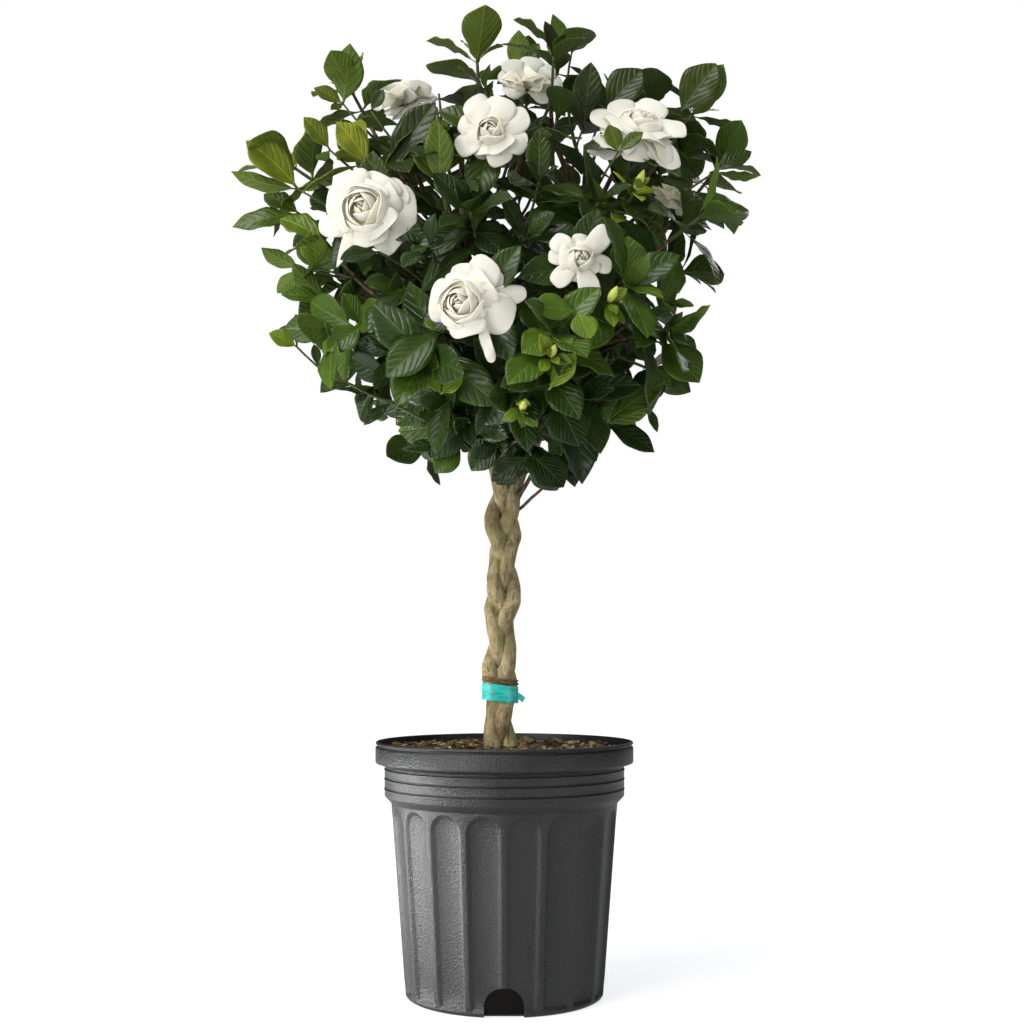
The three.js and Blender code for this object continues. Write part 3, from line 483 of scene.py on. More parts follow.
def sides_of(direction):
    """Two directions square to a unit direction, the first one level where it can be."""
    flat = np.cross((0, 0, 1), direction)
    if np.linalg.norm(flat) < 0.05:
        flat = np.cross((1, 0, 0), direction)
    first = unit(flat)
    return first, np.cross(direction, first)


def blade_place(root, along, face):
    """Where a blade starts, the way it runs, and its face, turned square to that way."""
    along = unit(along)
    return root, along, unit(face - along * face.dot(along))


def multiply_32(a, b):
    return (a * b) & MASK_32


def seeded_draws(seed):
    """The same seeded numbers from 0 to 1 that the CAD part's source draws."""
    state = seed

    def draw():
        nonlocal state
        state = (state + 0x6D2B79F5) & MASK_32
        mixed = multiply_32(state ^ (state >> 15), 1 | state)
        mixed = (mixed + multiply_32(mixed ^ (mixed >> 7), 61 | mixed)) & MASK_32 ^ mixed
        return (mixed ^ (mixed >> 14)) / 2**32

    return draw


def shown(name, mesh, materials, crease=None):
    """A mesh as an object of the scene, smooth but for edges sharper than crease, in degrees."""
    for material in materials:
        mesh.materials.append(material)
    mesh.shade_smooth()
    if crease:
        mesh.set_sharp_from_angle(angle=crease * DEG)
    piece = bpy.data.objects.new(name, mesh)
    bpy.context.scene.collection.objects.link(piece)
    return piece


class Body:
    """Points, faces and looks of one piece while it is put together, in millimetres."""

    def __init__(self):
        self.points = []
        self.places = []
        self.tones = []
        self.corners = []
        self.sizes = []
        self.slots = []
        self.count = 0

    def add(self, points, groups, tone=0.5, places=None):
        """Adds points with groups of faces, each (faces of one size, material slot)."""
        points = np.asarray(points, float).reshape(-1, 3)
        self.points.append(points)
        self.places.append(np.zeros_like(points) if places is None else places)
        self.tones.append(np.broadcast_to(tone, len(points)).astype(float))
        for faces, slot in groups:
            faces = np.asarray(faces, int)
            self.corners.append((faces + self.count).ravel())
            self.sizes.append(np.full(len(faces), faces.shape[1]))
            self.slots.append(np.full(len(faces), slot))
        self.count += len(points)

    def make(self, name, materials, crease=None):
        """The piece as a Blender object."""
        points = np.concatenate(self.points) * MM
        sizes = np.concatenate(self.sizes)
        mesh = bpy.data.meshes.new(name)
        mesh.vertices.add(len(points))
        mesh.vertices.foreach_set("co", points.ravel())
        mesh.loops.add(int(sizes.sum()))
        mesh.loops.foreach_set("vertex_index", np.concatenate(self.corners))
        mesh.polygons.add(len(sizes))
        mesh.polygons.foreach_set("loop_start", np.concatenate([[0], np.cumsum(sizes)[:-1]]))
        mesh.polygons.foreach_set("material_index", np.concatenate(self.slots))
        mesh.update(calc_edges=True)
        place = mesh.attributes.new("place", "FLOAT_VECTOR", "POINT")
        place.data.foreach_set("vector", np.concatenate(self.places).ravel())
        tone = mesh.attributes.new("tone", "FLOAT", "POINT")
        tone.data.foreach_set("value", np.concatenate(self.tones))
        return shown(name, mesh, materials, crease)


def pixel_span(depth):
    """How much of the object one pixel of the photo spans, at a depth behind the pot's axis."""
    return (depth - CAMERA_MM[1]) * SENSOR / CAMERA_LENS / PHOTO_SIZE


def sighted(column, row, depth):
    """The point that the photo shows at a pixel, where it lies at a depth behind the pot's axis."""
    span = pixel_span(depth)
    x = CAMERA_MM[0] + (column - PHOTO_SIZE / 2) * span
    z = CAMERA_MM[2] - (row - MIDDLE_ROW) * span
    return np.array([x, depth, z])


def seen_at(point):
    """Column and row at which the photo shows a point."""
    span = pixel_span(point[1])
    column = PHOTO_SIZE / 2 + (point[0] - CAMERA_MM[0]) / span
    row = MIDDLE_ROW - (point[2] - CAMERA_MM[2]) / span
    return column, row


def settle(piece, slot, *nodes):
    """Puts a piece on the part's one body, with the CAD nodes that it stands for."""
    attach(piece, "root")
    if nodes:
        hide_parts(*nodes)
    return piece


# Closed shapes


@lru_cache
def tube_faces(rings, sides):
    """Side faces and end faces of a tube."""
    ring = np.arange(rings - 1)[:, None] * sides
    here = np.arange(sides)
    beside = (here + 1) % sides
    quads = np.stack([ring + here, ring + beside, ring + sides + beside, ring + sides + here], -1)
    end = (rings - 1) * sides
    ends = np.stack([here[::-1], end + here])
    return quads.reshape(-1, 4), ends


def frames_along(points):
    """Two directions square to the path at each of its points, turning as little as they can."""
    tangents = np.gradient(points, axis=0)
    tangents /= np.linalg.norm(tangents, axis=1)[:, None]
    first = sides_of(unit(points[-1] - points[0]))[0]
    frames = []
    for tangent in tangents:
        first = unit(first - tangent * first.dot(tangent))
        frames.append((first, np.cross(tangent, first)))
    return frames


def add_tube(body, points, radii, sides, tone=0.5, slot=0, rough=0.0, grain=0.05):
    """A closed round limb through points, with an uneven skin where rough is over 0."""
    points = np.asarray(points, float)
    turns = np.arange(sides) * TAU / sides
    vertices = []
    for point, radius, (u, v) in zip(points, radii, frames_along(points)):
        for turn in turns:
            way = u * math.cos(turn) + v * math.sin(turn)
            reach = radius
            if rough:
                spot = way * radius * 0.22 + np.array([0, 0, point[2] * grain + tone * 40])
                reach += rough * noise.noise(Vector(spot))
            vertices.append(point + way * reach)
    quads, ends = tube_faces(len(points), sides)
    along = np.repeat(np.arange(len(points)) * 1.0, sides)
    places = np.stack([along, np.tile(turns, len(points)), np.zeros(len(along))], -1)
    body.add(vertices, [(quads, slot), (ends, slot)], tone, places)


@lru_cache
def blade_topology(rows, cols):
    """Upper faces, lower faces and rim of a thin blade on a grid of rows and cols."""
    wide = cols + 1
    i, j = np.meshgrid(np.arange(rows), np.arange(cols), indexing="ij")
    a = (i * wide + j).ravel()
    upper = np.stack([a, a + 1, a + wide + 1, a + wide], -1)
    count = (rows + 1) * wide
    lower = upper[:, ::-1] + count
    loop = list(range(cols))
    loop += [i * wide + cols for i in range(rows)]
    loop += [rows * wide + j for j in range(cols, 0, -1)]
    loop += [i * wide for i in range(rows, 0, -1)]
    here = np.array(loop)
    after = np.roll(here, -1)
    rim = np.stack([here, here + count, after + count, after], -1)
    return upper, lower, rim


def leaf_outline(x):
    """Half width of a leaf along its length: widest a little past its middle, with a pointed tip."""
    return np.maximum(x, 0) ** 1.15 * (1 - x) / 0.2257


def petal_outline(x):
    """Half width of a petal along its length: widest near its rounded end."""
    return np.maximum(x, 0) ** 0.75 * np.maximum(1 - x, 0) ** 0.34 / 0.5037


# How a blade is shaped where its own values don't say.
BLADE_SHAPE = {
    "crowd": 1.25,
    "neck": 0.06,
    "root": ROOT_HALF,
    "cup": 0,
    "waves": 2.3,
    "phase": 0,
    "ripple": 0,
    "sway": 0,
}


def blade_points(place, shape, rows, cols):
    """Middle surface of a blade, with the way along it and the distance from its midrib and edge."""
    shape = {**BLADE_SHAPE, **shape}
    root, along, face = place
    across = np.cross(along, face)
    length = shape["length"]
    t = np.linspace(0, 1, rows + 1)
    u = 1 - (1 - t) ** shape["crowd"]
    neck = shape["neck"]
    wide = shape["outline"](np.clip((u - neck) / (1 - neck), 0, 1))
    reach = np.maximum(shape["width"] / 2 * wide, shape["root"] * (1 - u) ** 2)
    reach = np.maximum(reach, 0.25)
    s = np.linspace(-1, 1, cols + 1)
    side = reach[:, None] * s
    u = u[:, None]
    lift = length * (shape["rise"] * u - shape["droop"] * u**2) + shape["fold"] * abs(side)
    lift = lift - shape["cup"] * side**2 / length
    wave = np.sin(TAU * shape["waves"] * u + shape["phase"] + 2.2 * (s > 0))
    lift = lift + shape["ripple"] * length * s**2 * wave * wide[:, None]
    sway = shape["sway"] * length * u**2
    points = root + along * (length * u)[..., None] + across * (side + sway)[..., None]
    points = points + face * lift[..., None]
    places = np.stack(np.broadcast_arrays(u, side / length, abs(s)), -1)
    return points, places


def add_blade(body, place, shape, grid, thick, tone=0.5, slots=(0, 1)):
    """A closed thin leaf or petal."""
    rows, cols = grid
    points, places = blade_points(place, shape, rows, cols)
    lift = place[2] * thick / 2
    upper, lower, rim = blade_topology(rows, cols)
    both = np.concatenate([(points + lift).reshape(-1, 3), (points - lift).reshape(-1, 3)])
    places = np.tile(places.reshape(-1, 3), (2, 1))
    body.add(both, [(upper, slots[0]), (lower, slots[1]), (rim, slots[0])], tone, places)


# The plant as the CAD part has it


def plait_point(phase, z):
    """Middle of a stem in the plait at a height."""
    turn = phase + TAU * (FORK - z) / PLAIT_PITCH
    wide = PLAIT_WIDE + PLAIT_SWELL * math.cos(TAU * (z - BULGE_AT) / BULGE_PITCH)
    return np.array([wide * math.sin(turn) - trunk_lean(z), PLAIT_DEEP * math.sin(2 * turn), z])


def trunk_lean(z):
    return TRUNK_LEAN * max(0, FORK - z) / (FORK - STEM_FOOT)


def leader_point(stem, z):
    """Middle of a stem above the fork, where it runs up into the crown."""
    foot = plait_point(stem["phase"], FORK)
    climb = min(1, (z - FORK) / LEADER_CLIMB)
    out = LEADER_SPREAD * math.sin(math.pi / 2 * climb)
    heading = stem["heading"]
    return np.array([foot[0] + out * math.cos(heading), foot[1] + out * math.sin(heading), z])


def leader_radius(z):
    return STEM_RADIUS + (LEADER_TIP_RADIUS - STEM_RADIUS) * (z - FORK) / (LEADER_TOP - FORK)


def stem_for(point):
    """The stem that carries the third of the crown that a point lies in."""
    heading = math.atan2(point[1], point[0]) / DEG
    return STEMS[int((heading + 60 + 360) % 360 / 120)]


def branch_path(stem, seat, direction, shift, steps):
    """Points of a branch from a stem's leader to a seat, which it meets in the shoot's direction."""
    wanted = BRANCH_LOW + BRANCH_RISE * (seat[2] - BRANCH_LOW) + shift
    z = min(max(wanted, BRANCH_LOW), LEADER_TOP - 8)
    middle = leader_point(stem, z)
    start = middle + unit(seat - middle) * 0.5 * leader_radius(z)
    bend = seat - direction * 0.45 * np.linalg.norm(seat - start)
    t = np.linspace(0, 1, steps + 1)[:, None]
    return (1 - t) ** 2 * start + 2 * t * (1 - t) * bend + t**2 * seat


def crown_radius(z):
    """Radius of the crown's outline at a height."""
    heights = [height for height, _ in CROWN_OUTLINE]
    radii = [radius for _, radius in CROWN_OUTLINE]
    i = next(k for k, height in enumerate(heights) if z <= height)
    low, high = max(i - 1, 0), max(i, 1)
    return radii[low] + (radii[high] - radii[low]) * (z - heights[low]) / (heights[high] - heights[low])


def leafy_shoot(tip, leaf_length, tone, lift, seed):
    return {
        "tip": tip,
        "seed": seed,
        "direction": unit(unit(tip - CROWN_HEART) + np.array([0, 0, lift])),
        "leaf_length": leaf_length,
        "tone": tone,
        "stem": LEAFY_STEM,
        "whorls": LEAFY_WHORLS,
    }


def all_shoots():
    """The CAD part's shoots: those under a bloom, those seen, and those that fill the back."""
    shoots = []
    for x, y, z, dx, dy, dz, *_ in BLOOMS:
        direction = unit(np.array([dx, dy, dz], float))
        tip = np.array([x, y, z], float) - direction * (BLOOM_DEPTH + GAP)
        look = {"leaf_length": BLOOM_LEAF, "tone": 0, "stem": BLOOM_STEM, "whorls": BLOOM_WHORLS}
        shoots.append({"tip": tip, "direction": direction, "seed": FIRST_SEED + len(shoots), **look})
    for x, y, z, leaf_length, tone, lift, seed in SEEN_SHOOTS:
        shoots.append(leafy_shoot(np.array([x, y, z], float), leaf_length, tone, lift, seed))
    made = 0
    for i in range(BACK_TRIES):
        if made == BACK_SHOOTS:
            break
        z = BACK_LOW + (BACK_HIGH - BACK_LOW) * (i + 0.5) / BACK_TRIES
        heading = i * GOLDEN_ANGLE
        radius = crown_radius(z)
        tip = polar(radius, heading, z)
        near = any(np.linalg.norm(shoot["tip"] - tip) < BACK_APART for shoot in shoots)
        if tip[1] < BACK_FROM or near:
            continue
        shoots.append(leafy_shoot(tip, BACK_LEAF, 0, 0, FIRST_SEED + len(shoots)))
        made += 1
    return shoots


def blade_way(direction, heading, lean):
    """The way out, the way along and the face of a blade that leans away from a direction."""
    first, second = sides_of(direction)
    radial = first * math.cos(heading) + second * math.sin(heading)
    along = direction * math.cos(lean) + radial * math.sin(lean)
    face = direction * math.sin(lean) - radial * math.cos(lean)
    return radial, along, face


def leaf_place(shoot, base, heading, lean):
    """Where a leaf stands: its weight turns it down, and its face turns up to the light."""
    _, along, face = blade_way(shoot["direction"], heading, lean)
    return blade_place(base, along - np.array([0, 0, LEAF_LEAN]), face + np.array([0, 0, LEAF_LIGHT]))


def planned_leaves(shoot, draw):
    """Leaves of a shoot as the CAD part's rule asks for them."""
    leaves = []
    turn = draw() * TAU
    for height, row in shoot["whorls"]:
        turn += (draw() - 0.5) * 60 * DEG
        low = height * shoot["stem"] - BAND
        for side, angle, size in row:
            heading = turn + (side + 0.5) * TAU / AXIS_SIDES
            radial = blade_way(shoot["direction"], heading, math.pi / 2)[0]
            base = shoot["tip"] + shoot["direction"] * (low + BAND / 2 - shoot["stem"])
            leaves.append({
                "base": base + radial * TWIG_RADIUS * SIDE_REACH,
                "heading": heading + (draw() - 0.5) * 0.4,
                "lean": (angle + (draw() - 0.5) * 20) * DEG,
                "length": shoot["leaf_length"] * size * (0.9 + 0.2 * draw()),
                "bend": draw(),
            })
    return leaves


def leaf_shape(leaf, size=1.0):
    length = leaf["length"] * size
    return {
        "outline": leaf_outline,
        "length": length,
        "width": LEAF_WIDTH * length,
        "rise": 0.16,
        "droop": 0.14 + 0.22 * leaf["bend"],
        "fold": 0.22,
    }


def node_points(name):
    """Vertices of a CAD node, in millimetres."""
    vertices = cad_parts[name].data.vertices
    points = np.empty(len(vertices) * 3)
    vertices.foreach_get("co", points)
    return points.reshape(-1, 3) / MM


def has_point(points, wanted):
    return np.linalg.norm(points - wanted, axis=1).min() < FOUND


def cad_leaves(shoot, index):
    """Place and shape of each leaf that the CAD part's shoot has, found by its tip in the node."""
    points = node_points(shoot_name(index))
    found = []
    for leaf in planned_leaves(shoot, seeded_draws(shoot["seed"])):
        for turn, lean, size in LEAF_TRIES:
            place = leaf_place(shoot, leaf["base"], leaf["heading"] + turn * DEG, leaf["lean"] + lean * DEG)
            shape = leaf_shape(leaf, size)
            root, along, face = place
            length = shape["length"]
            tip = root + along * length + face * (length * (shape["rise"] - shape["droop"]))
            if has_point(points, tip + face * CAD_LEAF_THICK / 2):
                found.append((place, shape))
                break
    return found


def cad_branch(shoot, stem_points):
    """The stem and path of the branch that the CAD part has to a shoot, found by its middle ring."""
    direction = shoot["direction"]
    seat = shoot["tip"] - direction * (shoot["stem"] + GAP)
    home = stem_for(seat)
    radius = (BRANCH_RADIUS + TWIG_RADIUS) / 2
    for stem in [home, *(other for other in STEMS if other is not home)]:
        for shift in BRANCH_SHIFTS:
            path = branch_path(stem, seat, direction, shift, 2)
            near = abs(np.linalg.norm(stem_points[stem["name"]] - path[1], axis=1) - radius)
            if (near < FOUND).sum() >= 2:
                return stem, branch_path(stem, seat, direction, shift, 10)
    return home, branch_path(home, seat, direction, 0, 10)


def shoot_name(index):
    return f"shoot_{index + 1:02d}"


def bloom_name(index):
    return f"bloom_{index + 1:02d}"


# Materials


class Shader:
    """A material with short ways to add and join its nodes."""

    def __init__(self, name, constants):
        self.material = bpy.data.materials.new(name)
        self.material.use_nodes = True
        self.tree = self.material.node_tree
        self.surface = self.tree.nodes["Principled BSDF"]
        for socket, value in constants.items():
            self.surface.inputs[socket].default_value = value

    def node(self, kind, inputs=(), **settings):
        made = self.tree.nodes.new(kind)
        for key, value in settings.items():
            setattr(made, key, value)
        for socket, value in dict(inputs).items():
            self.feed(made.inputs[socket], value)
        return made

    def feed(self, socket, value):
        if isinstance(value, bpy.types.NodeSocket):
            self.tree.links.new(value, socket)
        else:
            socket.default_value = value

    def math(self, operation, a, b=0.0):
        return self.node("ShaderNodeMath", {0: a, 1: b}, operation=operation).outputs[0]

    def plus(self, a, b):
        return self.math("ADD", a, b)

    def minus(self, a, b):
        return self.math("SUBTRACT", a, b)

    def times(self, a, b):
        return self.math("MULTIPLY", a, b)

    def larger(self, a, b):
        return self.math("MAXIMUM", a, b)

    def centred(self, value, spread):
        """A value from 0 to 1, moved to lie evenly round 0 and scaled."""
        return self.times(self.minus(value, 0.5), spread)

    def remap(self, value, low, high, to_low=0.0, to_high=1.0, smooth=True):
        kind = "SMOOTHSTEP" if smooth else "LINEAR"
        inputs = {"Value": value, "From Min": low, "From Max": high, "To Min": to_low, "To Max": to_high}
        return self.node("ShaderNodeMapRange", inputs, interpolation_type=kind).outputs[0]

    def place(self):
        """Way along a blade, distance from its midrib as a share of its length, and both as stored."""
        vector = self.node("ShaderNodeAttribute", attribute_name="place").outputs["Vector"]
        split = self.node("ShaderNodeSeparateXYZ", {0: vector}).outputs
        return split[0], self.math("ABSOLUTE", split[1]), vector

    def place_edge(self):
        """Way from a blade's midrib, 0, to its edge, 1."""
        vector = self.node("ShaderNodeAttribute", attribute_name="place").outputs["Vector"]
        return self.node("ShaderNodeSeparateXYZ", {0: vector}).outputs[2]

    def tone(self):
        return self.node("ShaderNodeAttribute", attribute_name="tone").outputs["Fac"]

    def spot(self, scale=(1, 1, 1)):
        """Object coordinates in metres, stretched."""
        point = self.node("ShaderNodeTexCoord").outputs["Object"]
        return self.node("ShaderNodeMapping", {"Vector": point, "Scale": scale}).outputs[0]

    def noise(self, scale, vector=None, detail=3.0, roughness=0.5, distortion=0.0):
        inputs = {"Scale": scale, "Detail": detail, "Roughness": roughness, "Distortion": distortion}
        inputs["Vector"] = self.spot() if vector is None else vector
        return self.node("ShaderNodeTexNoise", inputs).outputs["Fac"]

    def grain(self, scale, **look):
        """Noise with its own scale along each axis."""
        return self.noise(1.0, self.spot(scale), **look)

    def height(self):
        """Height above the ground, in metres."""
        return self.node("ShaderNodeSeparateXYZ", {0: self.spot()}).outputs[2]

    def ramp(self, value, stops):
        made = self.node("ShaderNodeValToRGB", {"Fac": value})
        elements = made.color_ramp.elements
        while len(elements) < len(stops):
            elements.new(0.5)
        for element, (position, colour) in zip(elements, stops):
            element.position = position
            element.color = (*colour, 1)
        return made.outputs["Color"]

    def mix(self, share, a, b, blend="MIX"):
        made = self.node("ShaderNodeMix", data_type="RGBA", blend_type=blend)
        for socket, value in ((0, share), (6, a), (7, b)):
            self.feed(made.inputs[socket], value if not isinstance(value, tuple) else (*value, 1))
        return made.outputs[2]

    def tinted(self, colour, tint):
        return self.mix(1.0, colour, tint, "MULTIPLY")

    def bump(self, height, distance, strength=1.0, normal=None):
        inputs = {"Height": height, "Distance": distance, "Strength": strength}
        if normal is not None:
            inputs["Normal"] = normal
        return self.node("ShaderNodeBump", inputs).outputs["Normal"]

    def finish(self, colour, roughness=None, normal=None):
        self.feed(self.surface.inputs["Base Color"], colour)
        if roughness is not None:
            self.feed(self.surface.inputs["Roughness"], roughness)
        if normal is not None:
            self.feed(self.surface.inputs["Normal"], normal)
        return self.material


QUILTING = (0.0012, 0.55)  # depth in metres and strength of a leaf's relief

# Colours of a leaf's upper side by its tone.
LEAF_TONES = [
    (0.0, (0.009, 0.020, 0.0035)),
    (0.3, (0.021, 0.044, 0.005)),
    (0.62, (0.054, 0.105, 0.007)),
    (0.85, (0.130, 0.205, 0.011)),
    (1.0, (0.260, 0.320, 0.022)),
]


def leaf_veins(shader):
    """Masks of a leaf's side veins and midrib, and the height of its quilted surface."""
    along, side, _ = shader.place()
    curve = shader.times(shader.math("POWER", side, 2.0), 2.6)
    start = shader.minus(shader.minus(along, side), curve)
    start = shader.plus(start, shader.centred(shader.noise(55, detail=2), 0.10))
    step = shader.math("FRACT", shader.times(start, LEAF_VEINS))
    near = shader.times(shader.math("ABSOLUTE", shader.minus(step, 0.5)), 2.0)
    vein = shader.times(shader.remap(near, 0.86, 0.99), shader.remap(side, 0.3, 0.12))
    midrib = shader.remap(side, 0.022, 0.006)
    hollow = shader.times(shader.math("POWER", near, 4.0), shader.remap(side, 0.0, 0.05))
    height = shader.minus(shader.minus(1.0, hollow), shader.times(midrib, 0.8))
    return vein, midrib, height


def leaf_material():
    shader = Shader("leaf", {"Specular IOR Level": 0.25, "Coat Weight": 0.12, "Coat Roughness": 0.14})
    vein, midrib, quilting = leaf_veins(shader)
    # Leaves high in the crown are painted lighter and paler: painted light on the crown's top.
    painted_top_light = shader.remap(shader.height(), 0.62, 0.80)
    tone = shader.plus(shader.tone(), shader.centred(shader.noise(90, detail=3), 0.3))
    tone = shader.plus(tone, shader.times(painted_top_light, 0.13))
    colour = shader.ramp(tone, LEAF_TONES)
    colour = shader.mix(painted_top_light, colour, shader.tinted(colour, (1.35, 1.0, 1.3)))
    pale = shader.tinted(colour, (1.7, 1.5, 1.5))
    lines = shader.larger(shader.times(vein, 0.3), shader.times(midrib, 0.85))
    edge = shader.times(shader.remap(shader.place_edge(), 0.9, 1.0), 0.6)
    colour = shader.mix(shader.larger(lines, edge), colour, pale)
    roughness = shader.remap(shader.noise(60), 0.3, 0.7, 0.27, 0.42)
    return shader.finish(colour, roughness, shader.bump(quilting, *QUILTING))


def leaf_under_material():
    shader = Shader("leaf_under", {"Specular IOR Level": 0.18})
    vein, midrib, height = leaf_veins(shader)
    colour = shader.ramp(shader.tone(), [
        (0.0, (0.024, 0.050, 0.011)),
        (0.5, (0.072, 0.122, 0.018)),
        (1.0, (0.200, 0.265, 0.045)),
    ])
    lines = shader.larger(shader.times(vein, 0.6), midrib)
    colour = shader.mix(shader.times(lines, 0.6), colour, shader.tinted(colour, (1.5, 1.4, 1.4)))
    return shader.finish(colour, 0.55, shader.bump(shader.minus(1.0, height), *QUILTING))


# Colours of petals, and of those with the light through them, by their tone. The second set is also painted
# lighter: painted light in the shaded heart and on blooms in shade.
PETAL_TONES = [
    (0.0, (0.88, 0.84, 0.715)),
    (0.45, (0.90, 0.82, 0.58)),
    (1.0, (0.87, 0.74, 0.38)),
]
HEART_TONES_WITH_PAINTED_LIGHT = [
    (0.0, (0.95, 0.90, 0.74)),
    (0.45, (0.97, 0.89, 0.62)),
    (1.0, (0.94, 0.82, 0.44)),
]


def petal_material(name, subsurface, tones):
    shader = Shader(name, {
        "Subsurface Weight": subsurface,
        "Subsurface Radius": (0.008, 0.007, 0.006),
        "Subsurface Scale": 1.0,
        "Sheen Weight": 0.15,
        "Sheen Roughness": 0.4,
        "Specular IOR Level": 0.3,
    })
    along, _, vector = shader.place()
    streaks = shader.node("ShaderNodeMapping", {"Vector": vector, "Scale": (3, 60, 0)}).outputs[0]
    fine = shader.noise(1.0, streaks, detail=4)
    base = shader.remap(along, 0.5, 0.0)
    tone = shader.plus(shader.times(base, 0.35), shader.tone())
    shade = shader.ramp(fine, [(0.3, (0.93, 0.93, 0.92)), (0.7, (1.0, 1.0, 1.0))])
    colour = shader.tinted(shader.ramp(tone, tones), shade)
    return shader.finish(colour, 0.55, shader.bump(fine, 0.0006, 0.35))


BARK_RELIEF = 0.0009
BARK_TONES = [
    (0.32, (0.100, 0.070, 0.032)),
    (0.48, (0.250, 0.195, 0.098)),
    (0.62, (0.410, 0.350, 0.200)),
    (0.74, (0.500, 0.460, 0.290)),
]


def bark_material():
    shader = Shader("trunk_bark", {"Specular IOR Level": 0.2})
    fibres = shader.grain((300, 300, 60), detail=6, roughness=0.65, distortion=1.2)
    patches = shader.noise(70, detail=5, roughness=0.6)
    cracks = shader.grain((420, 420, 85), detail=6, roughness=0.7, distortion=0.8)
    colour = shader.ramp(shader.plus(shader.times(fibres, 0.5), shader.times(patches, 0.5)), BARK_TONES)
    moss = shader.remap(shader.noise(38, detail=4), 0.5, 0.62)
    colour = shader.mix(shader.times(moss, 0.55), colour, (0.20, 0.195, 0.075))
    dark = shader.remap(cracks, 0.48, 0.36)
    colour = shader.mix(shader.times(dark, 0.75), colour, (0.055, 0.036, 0.018))
    normal = shader.bump(cracks, BARK_RELIEF, 0.9, shader.bump(fibres, BARK_RELIEF * 1.5, 0.8))
    return shader.finish(colour, shader.remap(patches, 0.3, 0.7, 0.72, 0.9), normal)


def twig_material():
    shader = Shader("twig", {"Specular IOR Level": 0.3})
    streaks = shader.grain((400, 400, 90), detail=4)
    colour = shader.ramp(streaks, [
        (0.35, (0.040, 0.022, 0.011)),
        (0.55, (0.105, 0.060, 0.030)),
        (0.72, (0.200, 0.140, 0.080)),
    ])
    return shader.finish(colour, 0.7, shader.bump(streaks, 0.0004, 0.7))


def shoot_stem_material():
    shader = Shader("shoot_stem", {"Specular IOR Level": 0.35})
    spots = shader.noise(160, detail=3)
    colour = shader.ramp(spots, [
        (0.3, (0.030, 0.032, 0.012)),
        (0.55, (0.062, 0.075, 0.020)),
        (0.75, (0.100, 0.075, 0.030)),
    ])
    return shader.finish(colour, 0.6, shader.bump(spots, 0.0004, 0.6))


def fibre_material():
    shader = Shader("fibre", {"Specular IOR Level": 0.2})
    strands = shader.grain((300, 300, 900), detail=5, roughness=0.6)
    colour = shader.ramp(strands, [(0.35, (0.060, 0.032, 0.016)), (0.65, (0.190, 0.115, 0.060))])
    return shader.finish(colour, 0.9, shader.bump(strands, 0.0006, 0.8))


def plastic_material():
    shader = Shader("pot_plastic", {"Specular IOR Level": 0.5})
    stipple = shader.noise(620, detail=2, roughness=0.6)
    streaks = shader.grain((40, 40, 4), detail=4)
    scuffs = shader.noise(30, detail=6, roughness=0.7)
    colour = shader.ramp(streaks, [(0.3, (0.0085, 0.0087, 0.0092)), (0.7, (0.014, 0.014, 0.0145))])
    dust = shader.remap(scuffs, 0.56, 0.8)
    colour = shader.mix(shader.times(dust, 0.2), colour, (0.050, 0.047, 0.042))
    roughness = shader.plus(shader.remap(streaks, 0.3, 0.7, 0.36, 0.42), shader.times(dust, 0.12))
    normal = shader.bump(stipple, 0.0009, 0.9, shader.bump(streaks, 0.0004, 0.25))
    return shader.finish(colour, roughness, normal)


def soil_material():
    shader = Shader("soil", {"Specular IOR Level": 0.2})
    grains = shader.noise(420, detail=6, roughness=0.7)
    lumps = shader.noise(70, detail=4)
    colour = shader.ramp(shader.plus(shader.times(grains, 0.5), shader.times(lumps, 0.5)), [
        (0.3, (0.014, 0.008, 0.005)),
        (0.5, (0.050, 0.028, 0.015)),
        (0.68, (0.120, 0.072, 0.040)),
    ])
    # Soil low in the pot, which shows only through the drain notches, is painted near black: painted shade
    # inside the pot.
    painted_shade_low = shader.remap(shader.height(), 0.19, 0.08)
    colour = shader.mix(shader.times(painted_shade_low, 0.93), colour, (0.0035, 0.003, 0.003))
    return shader.finish(colour, 0.95, shader.bump(grains, 0.002, 0.9))


def chip_material():
    shader = Shader("bark_chip", {"Specular IOR Level": 0.25})
    grain = shader.grain((500, 120, 300), detail=5, roughness=0.65)
    colour = shader.ramp(shader.plus(shader.tone(), shader.centred(grain, 0.5)), [
        (0.0, (0.016, 0.009, 0.005)),
        (0.5, (0.070, 0.044, 0.018)),
        (0.85, (0.180, 0.122, 0.055)),
        (1.0, (0.430, 0.320, 0.170)),
    ])
    return shader.finish(colour, 0.85, shader.bump(grain, 0.0008, 0.8))


def tape_material():
    shader = Shader("tape", {"Specular IOR Level": 0.5, "Coat Weight": 0.2, "Coat Roughness": 0.3})
    crease_relief_and_painted_shade = shader.grain((90, 90, 300), detail=4, distortion=0.8)
    # The colour follows the creases: darker in their hollows and lighter on the raised folds, painted shade
    # and painted light.
    colour = shader.ramp(crease_relief_and_painted_shade, [(0.35, (0.004, 0.300, 0.270)), (0.62, (0.012, 0.520, 0.460))])
    roughness = shader.remap(crease_relief_and_painted_shade, 0.3, 0.7, 0.3, 0.45)
    return shader.finish(colour, roughness, shader.bump(crease_relief_and_painted_shade, 0.0008, 0.6))


def bud_material():
    shader = Shader("bud", {"Specular IOR Level": 0.4})
    along, _, vector = shader.place()
    streaks = shader.noise(6, vector, detail=3)
    colour = shader.ramp(shader.plus(along, shader.times(streaks, 0.3)), [
        (0.1, (0.100, 0.210, 0.020)),
        (0.6, (0.300, 0.420, 0.040)),
        (1.1, (0.520, 0.560, 0.110)),
    ])
    return shader.finish(colour, 0.45, shader.bump(streaks, 0.0004, 0.5))


